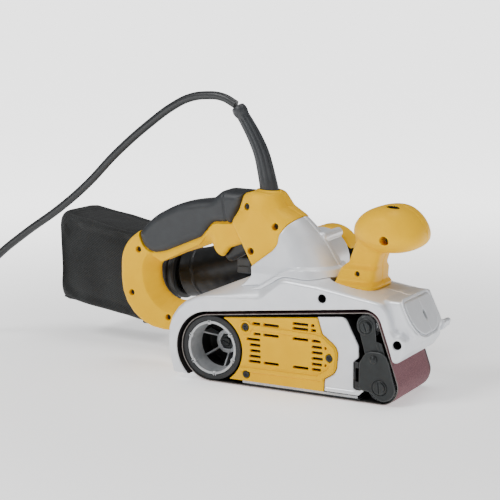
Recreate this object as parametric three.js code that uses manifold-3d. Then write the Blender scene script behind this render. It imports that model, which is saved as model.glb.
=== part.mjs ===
// A handheld belt sander with a 76 mm x 533 mm abrasive belt.
// Millimetres. X runs towards the nose, Z is up, and -Y is the open side where the belt is changed.
// The origin is the middle of the flat run of the belt, on the sanding face.
import * as THREE from "three";
import { mergeVertices } from "three/addons/utils/BufferGeometryUtils.js";
import Module from "manifold-3d";

const wasm = await Module();
wasm.setup();

// ---- Driving dimensions
const GAP = 0.3;
const BELT_HALF_WIDTH = 38;
const BELT_THICKNESS = 1;
const DRUM = { x: -90, z: 32.2, r: 32.2 };
const LOWER_ROLLER = { x: 83, z: 16.6, r: 16.6 };
const UPPER_ROLLER = { x: 68, z: 69.5, r: 13 };
const BELT_CLEARANCE = 3.3;
const OPEN_FACE = -42;
const DRIVE_WALL = [39.5, 44];
const MOTOR = { x: -12, z: 114 };
const GEARS = { pinionTeeth: 9, drumTeeth: 25, module: 1.9, slope: 0.615 };
const GEAR_CENTRES = ((GEARS.pinionTeeth + GEARS.drumTeeth) * GEARS.module) / 2;
const GEAR_PULLEY = {
  x: DRUM.x + GEAR_CENTRES * Math.cos(GEARS.slope),
  z: DRUM.z + GEAR_CENTRES * Math.sin(GEARS.slope),
};
const TRACKING_KNOB = { x: 38, z: 62 };
const HEAD_HALF_WIDTH = 27;
const HANDLE_HALF_WIDTH = 15;
const GRIP_HALF_WIDTH = 17;
const CORD_RADIUS = 4;
const COIL = { x: -490, y: -61, inner: 27, outer: 60.3, z: [0.4, 16.8] };
const PLUG = { x: -425, y: -100, z: 12.5 };

// ---- Materials
const paint = (color, roughness, metalness = 0) => ({ color, roughness, metalness });
const YELLOW = paint(0xf9bd14, 0.42);
const SILVER = paint(0xc9cdd2, 0.4, 0.35);
const RUBBER = paint(0x3c3e41, 0.75);
const BLACK = paint(0x202224, 0.5);
const STEEL = paint(0xa9acb0, 0.3, 0.9);
const DARK_STEEL = paint(0x4b4d50, 0.4, 0.8);
const ABRASIVE = paint(0x6e4848, 0.95);
const FABRIC = paint(0x26292b, 0.95);
const COPPER = paint(0xb06a3a, 0.35, 0.8);
const BRASS = paint(0xb8963e, 0.35, 0.8);
const GREY_CASTING = paint(0x9ea2a6, 0.5, 0.4);

const sander = new THREE.Group();
sander.name = "belt_sander";

// ---- Solids
function solidOf(positions, triangles) {
  const make = (order) =>
    new wasm.Manifold(new wasm.Mesh({ numProp: 3, vertProperties: positions, triVerts: order }));
  const made = make(triangles);
  if (made.volume() >= 0) return made;
  const flipped = triangles.slice();
  for (let i = 0; i < flipped.length; i += 3) {
    [flipped[i + 1], flipped[i + 2]] = [flipped[i + 2], flipped[i + 1]];
  }
  return make(flipped);
}

function solid(geometry) {
  const bare = geometry.clone();
  bare.deleteAttribute("normal");
  bare.deleteAttribute("uv");
  const merged = mergeVertices(bare, 1e-4);
  const corners = merged.index.array;
  const kept = [];
  for (let i = 0; i < corners.length; i += 3) {
    const [a, b, c] = corners.slice(i, i + 3);
    if (a !== b && b !== c && c !== a) kept.push(a, b, c);
  }
  return solidOf(merged.attributes.position.array, new Uint32Array(kept));
}

function add(name, body, finish) {
  const { vertProperties, triVerts } = body.getMesh();
  const geometry = new THREE.BufferGeometry();
  geometry.setAttribute("position", new THREE.BufferAttribute(vertProperties, 3));
  geometry.setIndex(new THREE.BufferAttribute(triVerts, 1));
  geometry.computeVertexNormals();
  const mesh = new THREE.Mesh(geometry, new THREE.MeshStandardMaterial(finish));
  mesh.name = name;
  sander.add(mesh);
}

function box([x0, x1], [y0, y1], [z0, z1]) {
  const geometry = new THREE.BoxGeometry(x1 - x0, y1 - y0, z1 - z0);
  geometry.translate((x0 + x1) / 2, (y0 + y1) / 2, (z0 + z1) / 2);
  return solid(geometry);
}

// A round bar along Y.
function rod({ x, z }, r, [y0, y1], sides = 20) {
  const geometry = new THREE.CylinderGeometry(r, r, y1 - y0, sides);
  geometry.translate(x, (y0 + y1) / 2, z);
  return solid(geometry);
}

// A turned piece along Y from a closed outline of [radius, y] pairs.
function turned({ x, z }, outline, sides = 24) {
  const points = [...outline, outline[0]].map(([r, y]) => new THREE.Vector2(r, y));
  const geometry = new THREE.LatheGeometry(points, sides);
  geometry.translate(x, 0, z);
  return solid(geometry);
}

// The outline of a plain tube for turned().
const tubeProfile = (inner, outer, [y0, y1]) => [
  [inner, y0],
  [outer, y0],
  [outer, y1],
  [inner, y1],
];

// An XZ outline carried along Y, with its long edges eased by `ease`.
function prism(points, [y0, y1], ease = 0) {
  const geometry = new THREE.ExtrudeGeometry(new THREE.Shape(points), {
    depth: y1 - y0 - 2 * ease,
    bevelEnabled: ease > 0,
    bevelThickness: ease,
    bevelSize: ease,
    bevelOffset: -ease,
    bevelSegments: 1,
  });
  geometry.rotateX(Math.PI / 2);
  geometry.translate(0, y1 - ease, 0);
  return solid(geometry);
}

// A skin over closed rings of 3-D points, every ring with the same count, capped at both ends.
function skin(rings) {
  const count = rings[0].length;
  const positions = rings.flat().flatMap((p) => [p.x, p.y, p.z]);
  const triangles = [];
  for (let ring = 0; ring + 1 < rings.length; ring++) {
    for (let i = 0; i < count; i++) {
      const a = ring * count + i;
      const b = ring * count + ((i + 1) % count);
      triangles.push(a, b, a + count, b, b + count, a + count);
    }
  }
  const last = (rings.length - 1) * count;
  for (let i = 1; i + 1 < count; i++) {
    triangles.push(0, i + 1, i, last, last + i, last + i + 1);
  }
  return solidOf(new Float32Array(positions), new Uint32Array(triangles));
}

// Round sections of given radii along a smooth curve. The bore is left solid.
function taperedTube(points, radii, sides = 16, stretch = 1) {
  const curve = new THREE.CatmullRomCurve3(points.map((p) => new THREE.Vector3(...p)));
  const steps = radii.length - 1;
  const rings = radii.map((r, i) => {
    const centre = curve.getPoint(i / steps);
    const along = curve.getTangent(i / steps);
    const across = new THREE.Vector3(0, 1, 0);
    const over = new THREE.Vector3().crossVectors(along, across).normalize();
    return Array.from({ length: sides }, (_, k) => {
      const turn = (2 * Math.PI * k) / sides;
      return centre
        .clone()
        .addScaledVector(across, r * Math.cos(turn))
        .addScaledVector(over, r * stretch * Math.sin(turn));
    });
  });
  return skin(rings);
}

// ---- Outlines in the XZ plane
// Corners are [x, z, radius]; a corner with a radius becomes an arc.
function rounded(corners, steps = 3) {
  return corners.flatMap(([x, z, r = 0], i) => {
    const corner = new THREE.Vector2(x, z);
    if (r === 0) return [corner];
    const before = new THREE.Vector2(...corners.at(i - 1)).sub(corner).normalize();
    const after = new THREE.Vector2(...corners[(i + 1) % corners.length]).sub(corner).normalize();
    const half = Math.acos(before.dot(after)) / 2;
    const centre = corner.clone().addScaledVector(before.clone().add(after).normalize(), r / Math.sin(half));
    const from = corner.clone().addScaledVector(before, r / Math.tan(half)).sub(centre).angle();
    const to = corner.clone().addScaledVector(after, r / Math.tan(half)).sub(centre).angle();
    const sweep = ((to - from + 3 * Math.PI) % (2 * Math.PI)) - Math.PI;
    return Array.from({ length: steps + 1 }, (_, k) => {
      const angle = from + (sweep * k) / steps;
      return new THREE.Vector2(centre.x + r * Math.cos(angle), centre.y + r * Math.sin(angle));
    });
  });
}

// The same outline moved outwards by `margin`.
function grown(points, margin) {
  const area = THREE.ShapeUtils.area(points);
  const side = Math.sign(area) * margin;
  return points.map((p, i) => {
    const before = p.clone().sub(points.at(i - 1)).normalize();
    const after = points[(i + 1) % points.length].clone().sub(p).normalize();
    const along = before.clone().add(after).normalize();
    const reach = side / Math.max(along.dot(after), 0.3);
    return new THREE.Vector2(p.x + along.y * reach, p.y - along.x * reach);
  });
}

// The outline of a band stretched round circles, which are listed anticlockwise.
function bandAround(circles, margin, steps) {
  const tangentAngle = (a, b) => {
    const along = Math.atan2(b.z - a.z, b.x - a.x);
    return along - Math.PI / 2 + Math.asin((a.r - b.r) / Math.hypot(b.x - a.x, b.z - a.z));
  };
  return circles.flatMap((circle, i) => {
    const from = tangentAngle(circles.at(i - 1), circle);
    const to = tangentAngle(circle, circles[(i + 1) % circles.length]);
    const sweep = (to - from + 4 * Math.PI) % (2 * Math.PI);
    const count = Math.max(3, Math.round((steps * sweep) / (2 * Math.PI)));
    return Array.from({ length: count + 1 }, (_, k) => {
      const angle = from + (sweep * k) / count;
      const r = circle.r + margin;
      return new THREE.Vector2(circle.x + r * Math.cos(angle), circle.z + r * Math.sin(angle));
    });
  });
}

const beltLoop = (margin, steps = 40) => bandAround([LOWER_ROLLER, UPPER_ROLLER, DRUM], margin, steps);

// Keeps one side of the parting plane: -1 is the open side, 1 the drive side.
function half(body, side) {
  const far = 400;
  const span = side < 0 ? [-far, -GAP / 2] : [GAP / 2, far];
  return body.intersect(box([-far, far], span, [-far, far]));
}

function addHalves(name, body, finish) {
  add(name + "_right", half(body, -1), finish);
  add(name + "_left", half(body, 1), finish);
}

// ---- Housing: the silver shell over the belt
const SHOULDER = [
  [-109.6, 4.5],
  [97.5, 42, 2],
  [96.5, 60, 10],
  [87.5, 91.5, 14],
  [20, 101.6, 60],
  [-15, 104.6, 14],
  [-36, 86.6, 12],
  [-136.5, 79.5, 44],
  [-134.5, 26, 12],
  [-130, 5, 3],
];
const CROWN = [
  [-109.6, 4.5],
  [97.5, 42, 2],
  [97.5, 62, 10],
  [87.5, 95, 8],
  [20, 107.5, 60],
  [-15, 109.5, 14],
  [-60, 100, 12],
  [-137.5, 67, 26],
  [-135, 26, 8],
  [-130, 5, 3],
];
const CROWN_HALF_WIDTH = 22;
const NOSE_BLOCK = [
  [84, 94.6],
  [99.2, 94.2, 2.5],
  [114.6, 62, 6],
  [104, 54, 4],
  [88, 60],
];
const NOSE_HALF_WIDTH = 34;
const NOSE_BAR = [
  [93.5, 66],
  [101, 66.5, 5],
  [107.4, 61.5, 5],
  [107.2, 50.5, 8],
  [99.4, 39.6, 4],
  [94, 42],
];
const KNOB_SEAT_Z = 98.2;
const ACCESSORY_HOLES = [
  { x: 26.1, z: 91.5 },
  { x: 99.2, z: 56.9 },
];

// An outline placed in the plane y = constant.
const atY = (points, y) => points.map((p) => new THREE.Vector3(p.x, y, p.y));

function roofShell() {
  const shoulder = rounded(SHOULDER, 4);
  const crown = rounded(CROWN, 4);
  const rings = [
    atY(shoulder, OPEN_FACE),
    atY(crown, -CROWN_HALF_WIDTH),
    atY(crown, CROWN_HALF_WIDTH),
    atY(shoulder, DRIVE_WALL[1]),
  ];
  return skin(rings);
}

function noseBlock() {
  const front = [
    [-NOSE_HALF_WIDTH, 52, 20],
    [NOSE_HALF_WIDTH, 52, 20],
    [NOSE_HALF_WIDTH, 100],
    [-NOSE_HALF_WIDTH, 100],
  ];
  const shield = prism(rounded(front, 4), [-120, -80]).rotate([0, 0, 90]);
  const block = prism(rounded(NOSE_BLOCK), [-NOSE_HALF_WIDTH, NOSE_HALF_WIDTH], 2);
  return block.intersect(shield);
}

function housingOuter() {
  const driveSide = prism(beltLoop(0), DRIVE_WALL).intersect(box([-140, 120], [30, 50], [3.5, 100]));
  const bar = prism(rounded(NOSE_BAR), [OPEN_FACE, DRIVE_WALL[1]], 1.2);
  return roofShell().add(noseBlock()).add(bar).add(driveSide);
}

// A level, squared-off oval centred on the machine's middle plane.
function superOval({ x, a, b, z }) {
  const sides = 20;
  const power = 0.62;
  return Array.from({ length: sides }, (_, k) => {
    const turn = (2 * Math.PI * k) / sides;
    const bulge = (v) => Math.sign(v) * Math.abs(v) ** power;
    return new THREE.Vector3(x + a * bulge(Math.cos(turn)), b * bulge(Math.sin(turn)), z);
  });
}

const FLANGE = { x: 44.5, a: 23.5, b: 26.5 };

function housing(outer) {
  const beltSpace = prism(beltLoop(BELT_CLEARANCE), [OPEN_FACE - 1, DRIVE_WALL[0]]);
  const nosePocket = prism(
    rounded([
      [86, 88],
      [97, 88, 2],
      [109, 64, 2],
      [98, 60],
      [88, 66],
    ]),
    [-30, 30],
  );
  const { x, a, b } = FLANGE;
  const seat = skin([KNOB_SEAT_Z, 120].map((z) => superOval({ x, a: a + GAP, b: b + GAP, z })));
  const holes = ACCESSORY_HOLES.map((at) => rod(at, 4, [OPEN_FACE - 1, OPEN_FACE + 12], 14));
  const shaftHoles = [
    rod(DRUM, 11.3, [38, 45]),
    rod(GEAR_PULLEY, 4.3, [38, 45], 16),
    rod(TRACKING_KNOB, 3.4, [38, 45], 12),
  ];
  const motorSpace = rod(MOTOR, MOTOR_BAY.r, MOTOR_BAY.y).add(rod(MOTOR, BULGE_RADIUS + GAP, [39.6, 60], 28));
  const cuts = [beltSpace, motorSpace, nosePocket, seat, ...holes, ...shaftHoles];
  return cuts.reduce((body, cut) => body.subtract(cut), outer);
}

// ---- Tower: the silver casting that carries the motor
const TOWER_SECTIONS = [
  { z: 84, front: 40, halfWidth: 37 },
  { z: 100, front: 33.5, halfWidth: 36.5 },
  { z: 107, front: 30, halfWidth: 35.5 },
  { z: 113.5, front: 26.8, halfWidth: 34.5 },
  { z: 115.5, front: 23.2, halfWidth: 31.5 },
  { z: 126, front: 15.6, halfWidth: 30 },
  { z: 134, front: 10.4, halfWidth: 29 },
  { z: 141.4, front: 4.1, halfWidth: 28 },
  { z: 149.8, front: -4.3, halfWidth: 27 },
  { z: 157, front: -12.2, halfWidth: 26 },
  { z: 160, front: -17, halfWidth: 24 },
];
const TOWER_REAR = -70;
const TOWER_FRONT_ROUND = 30;
// Where the silver tower ends and the yellow head begins.
const TOWER_REGION = [
  [-12.5, 158],
  [-19.2, 151.5, 4],
  [-24.5, 143, 5],
  [-25.6, 134.5, 5],
  [-30, 128.5, 3],
  [-51.3, 112.3, 2],
  [-50, 104.5, 5],
  [-56, 98, 8],
  [-69, 87],
  [-69, 70],
  [60, 70],
  [60, 158],
];
const BULGE_RADIUS = 28.5;
const MOTOR_BAY = { r: 22.6, y: [-18, 39.7] };

function towerSection({ z, front, halfWidth }, margin) {
  const arcSteps = 10;
  const centre = front - TOWER_FRONT_ROUND;
  const reach = TOWER_FRONT_ROUND + margin;
  const arc = Array.from({ length: arcSteps + 1 }, (_, k) => {
    const turn = -Math.PI / 2 + (Math.PI * k) / arcSteps;
    return new THREE.Vector3(centre + reach * Math.cos(turn), (halfWidth + margin) * Math.sin(turn), z);
  });
  const rear = [-1, 1].map((side) => new THREE.Vector3(TOWER_REAR, side * (halfWidth + margin), z));
  return [rear[0], ...arc, rear[1]];
}

const towerSkin = (margin) => skin(TOWER_SECTIONS.map((section) => towerSection(section, margin)));

function tower(outerHousing) {
  const bossAxis = [
    [4.5, 4, 138.8],
    [4.5, 39.4, 138.8],
  ];
  const boss = taperedTube(bossAxis, [6.4, 5.4], 12);
  return towerSkin(0)
    .intersect(prism(rounded(TOWER_REGION, 3), [-60, 60]))
    .add(rod(MOTOR, BULGE_RADIUS, [0, DRIVE_WALL[0]], 28))
    .add(boss)
    .subtract(outerHousing.translate([0, 0, GAP]))
    .subtract(rod(MOTOR, MOTOR_BAY.r, MOTOR_BAY.y));
}

// ---- Rear handle and switch head, in two yellow halves with a rubber grip
const HANDLE_OUTLINE = [
  [-112, 37.5],
  [-112, 66.5],
  [-165.5, 68.5, 24],
  [-165, 102.4, 7],
  [-105, 126, 5],
  [-97.5, 115.8, 5],
  [-91.5, 111.4, 4.4],
  [-84, 122],
  [-60, 133],
  [-60, 150],
  [-60, 177],
  [-92, 176.8, 9],
  [-103, 167.6, 15],
  [-150, 156, 42],
  [-205, 118, 36],
  [-205.2, 37.5, 47],
];
const HEAD_OUTLINE = [
  [-52, 108, 6],
  [-20, 108],
  [0, 152],
  [-28.4, 165.4],
  [-36, 177.8, 6],
  [-56, 180.2, 8],
  [-66, 176.5, 7],
  [-75.3, 151, 8],
];
const GRIP_OUTLINE = [
  [-66.5, 178],
  [-71, 163.5, 10],
  [-80.5, 147.6, 4.5],
  [-101, 146.8, 10],
  [-114, 131.5, 8],
  [-153, 114, 12],
  [-176, 107.5, 9],
  [-186, 132, 4],
  [-150, 157.5, 42],
  [-103, 169.4, 15],
  [-92, 178.4, 9],
];
const GRIP_CORE = [
  [-60, 173],
  [-76, 150],
  [-84, 140],
  [-104, 140],
  [-118, 124],
  [-160, 104],
  [-176, 112],
  [-180, 128, 4],
  [-150, 152, 38],
  [-103, 163, 12],
  [-90, 173],
];
const TRIGGER_OUTLINE = [
  [-93.6, 115.6, 2.5],
  [-87.6, 109.6, 3],
  [-70, 121.6, 2],
  [-62, 129],
  [-66, 137],
  [-78, 137],
  [-85, 125],
];
const HEAD_SCREWS = [
  { x: -59.8, z: 166.2 },
  { x: -29.4, z: 149.8 },
  { x: -54.4, z: 125.3 },
];
const HANDLE_SCREWS = [
  { x: -182.7, z: 117 },
  { x: -192.6, z: 71.3 },
  { x: -151.4, z: 50.5 },
];
const SWITCH_BAY = { x: [-84, -40], y: [-11, 11], z: [134, 165] };
const CORD_EXIT = [-48.6, 0, 186];
const TRIGGER_PIVOT = { x: -66, z: 131 };
const TRIGGER_PULL = 8;
const LOCK_BUTTON = { x: -73, z: 140 };
const SPEED_DIAL = { x: -46, z: 150 };
const GRIP_SPAN = [-GRIP_HALF_WIDTH, GRIP_HALF_WIDTH];

function gripCore(margin) {
  return prism(grown(rounded(GRIP_CORE, 3), margin), [-12 - margin, 12 + margin]);
}

function handle(outerHousing) {
  const gripSpace = prism(grown(rounded(GRIP_OUTLINE, 3), GAP), [-40, 40]);
  const towerSpace = prism(grown(rounded(TOWER_REGION, 3), GAP), [-60, 60]);
  const triggerSweep = [0, 0.5, 1]
    .map((pull) => triggerBody(0.6, pull * TRIGGER_PULL))
    .reduce((all, body) => all.add(body));
  const screwHoles = [
    ...HEAD_SCREWS.map((at) => rod(at, 3.4, [-HEAD_HALF_WIDTH - 1, -HEAD_HALF_WIDTH + 8], 12)),
    ...HANDLE_SCREWS.map((at) => rod(at, 3.2, [-HANDLE_HALF_WIDTH - 1, -HANDLE_HALF_WIDTH + 6], 12)),
  ];
  const bay = box(SWITCH_BAY.x, SWITCH_BAY.y, SWITCH_BAY.z);
  const cordBore = taperedTube([CORD_EXIT, [-47, 0, 160]], [9.4, 9.4], 14);
  return prism(rounded(HANDLE_OUTLINE, 4), [-HANDLE_HALF_WIDTH, HANDLE_HALF_WIDTH], 3.8)
    .add(prism(rounded(HEAD_OUTLINE, 3), [-HEAD_HALF_WIDTH, HEAD_HALF_WIDTH], 5))
    .subtract(gripSpace)
    .add(gripCore(0))
    .subtract(towerSpace)
    .subtract(outerHousing.translate([-GAP, 0, GAP]))
    .subtract(outerHousing)
    .subtract(triggerSweep)
    .subtract(rod(MOTOR, BULGE_RADIUS + GAP, [-1, 60], 28))
    .subtract(bay)
    .subtract(cordBore)
    .subtract(screwHoles.reduce((all, hole) => all.add(hole)))
    .subtract(rod(LOCK_BUTTON, 5.3, [8.6, 40], 16))
    .subtract(rod(SPEED_DIAL, 9.4, [23, 40]));
}

// The trigger turned by `degrees` about its pivot.
function triggerBody(margin, degrees) {
  const { x, z } = TRIGGER_PIVOT;
  return prism(grown(rounded(TRIGGER_OUTLINE, 2), margin), [-8 - margin, 8 + margin])
    .translate([-x, 0, -z])
    .rotate([0, degrees, 0])
    .translate([x, 0, z]);
}

function grip() {
  return prism(rounded(GRIP_OUTLINE, 3), GRIP_SPAN, 3.7).subtract(gripCore(GAP));
}

function addHandle(outerHousing) {
  addHalves("handle", handle(outerHousing), YELLOW);
  add("grip", grip(), RUBBER);
  add("trigger", prism(rounded(TRIGGER_OUTLINE, 3), [-8, 8], 1.5), BLACK);
  const [x0, x1] = SWITCH_BAY.x;
  add("switch_module", box([x0 + 8, x1 - 1], [-9, 9], [143, 164]), BLACK);
  const button = [
    [0, 11.4],
    [4.9, 11.4],
    [4.9, 15.6],
    [4, 17.4],
    [0, 17.4],
  ];
  const dial = [
    [0, 23.4],
    [9, 23.4],
    [9, 28.5],
    [8, 29.6],
    [0, 29.6],
  ];
  add("lock_button", turned(LOCK_BUTTON, button, 14), BLACK);
  add("speed_dial", turned(SPEED_DIAL, dial, 20), BLACK);
}

// ---- Front knob with its base, in two yellow halves
const KNOB_PROFILE = [
  [41.5, 150],
  [43.5, 158],
  [51.5, 166.5],
  [64, 172],
  [77, 174],
  [88, 172.8],
  [98.5, 166.5],
  [106.5, 158],
  [109.8, 148],
  [107.5, 141],
  [98, 135.8],
  [85, 132.2],
  [70, 131.8],
  [56, 136],
  [44.5, 143.5],
];
const KNOB_CENTRE = { x: 75, z: 150 };
const KNOB_HALF_WIDTH = 30;
const KNOB_NECK = [
  { z: KNOB_SEAT_Z + GAP, x: 44.5, a: 23.5, b: 26.5 },
  { z: 103, x: 44.5, a: 23, b: 25.8 },
  { z: 105.5, x: 45.5, a: 20.8, b: 22 },
  { z: 109, x: 46.5, a: 19.4, b: 19.6 },
  { z: 118, x: 47.5, a: 18.6, b: 18.8 },
  { z: 120.5, x: 50, a: 16, b: 15.8 },
  { z: 132, x: 54, a: 14.6, b: 15.2 },
  { z: 142, x: 62, a: 17, b: 18 },
];

function knobHead() {
  const rounds = 4;
  const rings = [];
  for (let i = -rounds; i <= rounds; i++) {
    const turn = (0.92 * Math.PI * i) / (2 * rounds);
    const scale = Math.sqrt(Math.cos(turn));
    const profile = KNOB_PROFILE.map(
      ([x, z]) =>
        new THREE.Vector3(
          KNOB_CENTRE.x + (x - KNOB_CENTRE.x) * scale,
          KNOB_HALF_WIDTH * Math.sin(turn),
          KNOB_CENTRE.z + (z - KNOB_CENTRE.z) * scale,
        ),
    );
    rings.push(profile);
  }
  return skin(rings);
}

function addKnob() {
  const screwHole = rod({ x: 79.7, z: 146 }, 4.4, [-40, -18], 14);
  const baseScrewHole = rod({ x: 50.5, z: 114.5 }, 2.2, [-30, -14], 10);
  const topSlot = box([69.5, 81.5], [-1.6, 1.6], [167, 178]);
  const knob = skin(KNOB_NECK.map((ring) => superOval(ring)))
    .add(knobHead())
    .subtract(towerSkin(GAP))
    .subtract(screwHole)
    .subtract(baseScrewHole)
    .subtract(topSlot);
  addHalves("knob", knob, YELLOW);
}

// ---- Belt, platen and the frame inside the loop
const BELT_Y = [-BELT_HALF_WIDTH, BELT_HALF_WIDTH];
const FRAME_OUTLINE = [
  [-100, 5.2],
  [60.5, 5.2],
  [64, 10.8],
  [55.9, 10.8],
  [55.6, 35.7],
  [60.6, 40, 3],
  [60.2, 51, 8],
  [52.9, 64.5, 10],
  [47, 76, 7],
  [19, 73.2],
  [-100, 61],
];
const COVER_OUTLINE = [
  [-100, 5],
  [26.5, 5],
  [26.8, 17, 2],
  [38.6, 24, 12],
  [40.4, 46, 12],
  [24.4, 57.5, 6],
  [19.6, 72.7, 1],
  [-100, 60.6],
];
const SHOE_TOE = [
  [50, 5.2],
  [60.5, 5.2],
  [66.4, 10.8],
  [50, 10.8],
];
const SHOE_TOE_Y = [-37, -35.5];
const COVER_FACE = -39;
const FRAME_FACE = -37;
const COVER_SEAT = -34.4;
const SLOT_HEIGHT = 2;
// Vent slots: rows of [z, then pairs of x].
const VENT_ROWS = [
  [24.5, [-50, -37.6], [-34.4, -18.8], [-4.2, 11.4], [15, 24]],
  [29.5, [-49.5, -37.6], [14.7, 25]],
  [34.8, [-48.6, -37.8], [14.7, 25.8]],
  [40.2, [-49, -37.8], [14.6, 25.6]],
  [45.4, [-52.2, -38.2], [14.6, 24.8]],
  [50.9, [-44.9, -37.5], [-34.9, -19], [-4.8, 11.2], [14.6, 24.2]],
  [60.5, [-46.2, -38.2], [-34.9, -18.9], [-4.8, 11], [13.8, 18.8]],
  [65, [-4.8, 11], [13.8, 17.2]],
];
const COVER_SCREWS = [
  { name: "vent_screw_upper", x: -53.1, z: 56.5 },
  { name: "vent_screw_lower", x: -52.5, z: 11.6 },
  { name: "vent_screw_front", x: 32.4, z: 36.8 },
];
const SPRING_POCKET = { x: [36, 56.5], z: 25, r: 5 };

function addBelt() {
  const inner = prism(beltLoop(-BELT_THICKNESS, 48), [-BELT_HALF_WIDTH - 1, BELT_HALF_WIDTH + 1]);
  add("sanding_belt", prism(beltLoop(0, 48), BELT_Y).subtract(inner), ABRASIVE);
  add("platen_pad", box([-56, 62], [-37, 37], [1.3, 2.5]), DARK_STEEL);
  add("platen", box([-57, 60], [-37, 37], [2.8, 4.9]), STEEL);
}

function frameBody() {
  const drumSpace = rod(DRUM, DRUM.r + 1.2, [-60, 60], 36);
  const coverSeat = prism(grown(rounded(COVER_OUTLINE, 3), GAP), [FRAME_FACE - 2, COVER_SEAT]);
  const bay = box([-50, 12], [-40, 10], [14, 56]);
  const springPocket = taperedTube(
    [
      [SPRING_POCKET.x[0], 0, SPRING_POCKET.z],
      [SPRING_POCKET.x[1], 0, SPRING_POCKET.z],
    ],
    [SPRING_POCKET.r, SPRING_POCKET.r],
    12,
  );
  const toe = prism(rounded(SHOE_TOE), SHOE_TOE_Y);
  const screwHoles = COVER_SCREWS.map((at) => rod(at, 1.9, [-40, -28], 8));
  return prism(rounded(FRAME_OUTLINE, 3), [FRAME_FACE, DRIVE_WALL[0] - GAP])
    .add(toe)
    .subtract(drumSpace)
    .subtract(coverSeat)
    .subtract(bay)
    .subtract(springPocket)
    .subtract(screwHoles.reduce((all, hole) => all.add(hole)));
}

function ventCover() {
  const slots = VENT_ROWS.flatMap(([z, ...spans]) =>
    spans.map((span) => box(span, [-42, -30], [z - SLOT_HEIGHT / 2, z + SLOT_HEIGHT / 2])),
  );
  const drumSpace = rod(DRUM, DRUM.r + 0.8, [-60, 60], 36);
  const screwSeats = COVER_SCREWS.map((at) => rod(at, 3.7, [-42, -37.2], 12));
  const screwHoles = COVER_SCREWS.map((at) => rod(at, 1.9, [-42, -30], 8));
  return [drumSpace, ...slots, ...screwSeats, ...screwHoles].reduce(
    (body, cut) => body.subtract(cut),
    prism(rounded(COVER_OUTLINE), [COVER_FACE, COVER_SEAT - GAP]),
  );
}

function addFrame() {
  add("inner_frame", frameBody(), SILVER);
  add("vent_cover", ventCover(), YELLOW);
  add("control_module", box([-46, 8], [-30, 8], [17, 52]), GREY_CASTING);
  const screw = [
    [0, -29],
    [1.5, -29],
    [1.5, -37.5],
    [3.3, -37.5],
    [3.3, -38.6],
    [2.4, -39.6],
    [0, -39.6],
  ];
  for (const at of COVER_SCREWS) {
    add(at.name, turned(at, screw, 10), DARK_STEEL);
  }
}

// ---- Drive drum
const DRUM_HUB_RADIUS = 27.6;
const TYRE_RADIUS = DRUM.r - BELT_THICKNESS - GAP;
const SPOKES = 6;

function drumHub() {
  const profile = [
    [7.2, -7],
    [11.5, -7],
    [11.5, 1],
    [22, 1],
    [24.2, -37],
    [DRUM_HUB_RADIUS, -37],
    [DRUM_HUB_RADIUS, 37],
    [24.2, 37],
    [22, 8],
    [11.5, 8],
    [11.5, 30],
    [7.2, 30],
  ];
  const atSpoke = (body, i) => body.rotate([0, 18 + (360 / SPOKES) * i, 0]).translate([DRUM.x, 0, DRUM.z]);
  let hub = turned(DRUM, profile);
  for (let i = 0; i < SPOKES; i++) {
    hub = hub.add(atSpoke(box([10, 24], [-12, 2], [-0.8, 0.8]), i));
    hub = hub.subtract(atSpoke(box([25.8, 30], [-40, -34], [-1.2, 1.2]), i));
  }
  return hub;
}

function addDrum() {
  const tyreBore = DRUM_HUB_RADIUS + GAP;
  const shaft = [
    [0, -9.5],
    [6.4, -9.5],
    [6.4, -6.5],
    [6.9, -6.5],
    [6.9, 31],
    [6, 31],
    [6, 56.2],
    [0, 56.2],
  ];
  add("drum_hub", drumHub(), GREY_CASTING);
  add("drum_tyre", turned(DRUM, tubeProfile(tyreBore, TYRE_RADIUS, [-37, 37]), 40), RUBBER);
  add("drum_shaft", turned(DRUM, shaft, 16), STEEL);
  add("drum_bearing", turned(DRUM, tubeProfile(6.3, 11, [39.7, 44.2]), 16), STEEL);
}

// ---- Front rollers and their carrier
const YOKE_OUTLINE = [
  [62.6, 12.6],
  [73.4, 11.4],
  [84, 3.2, 11],
  [100.4, 8.4, 11],
  [88.6, 48.6, 10],
  [70, 48.6, 9],
  [62.9, 37.2],
];
const YOKE_Y = [-41.8, -39.6];
const ARM_OUTLINE = [
  [59.6, 72, 7],
  [63.5, 80.5, 7],
  [76.4, 79, 7],
  [78.4, 57.6],
  [83.4, 56],
  [87.6, 43],
  [82, 34],
  [70, 36],
];
const ARM_Y = [-39.2, -37.3];
const PIVOT = { x: 76.8, z: 41.5 };
const AXLE_RADIUS = 4;

// A roller clears the band by `slack`, which leaves the tracking roller room to tilt.
function roller({ x, z, r }, slack) {
  const outer = r - BELT_THICKNESS - slack;
  const bore = AXLE_RADIUS + GAP;
  return turned({ x, z }, tubeProfile(bore, outer, [-35, 36]), 28);
}

function slottedHead(at, r, [y0, y1], turn) {
  const dome = [
    [0, y1],
    [r, y1],
    [r, y0 + 0.6],
    [r - 0.6, y0],
    [0, y0],
  ];
  const head = turned(at, dome, 16);
  const slot = box([-r - 1, r + 1], [y0 - 1, y0 + 0.8], [-0.6, 0.6]).rotate([0, turn, 0]);
  return head.subtract(slot.translate([at.x, 0, at.z]));
}

function yoke() {
  const crossbar = box([63.2, 65.6], [-40, 38.6], [19.6, 30.4]);
  const pivotHole = rod(PIVOT, 2.3, [-50, -30], 14);
  return prism(rounded(YOKE_OUTLINE), YOKE_Y).add(crossbar).subtract(pivotHole);
}

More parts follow.
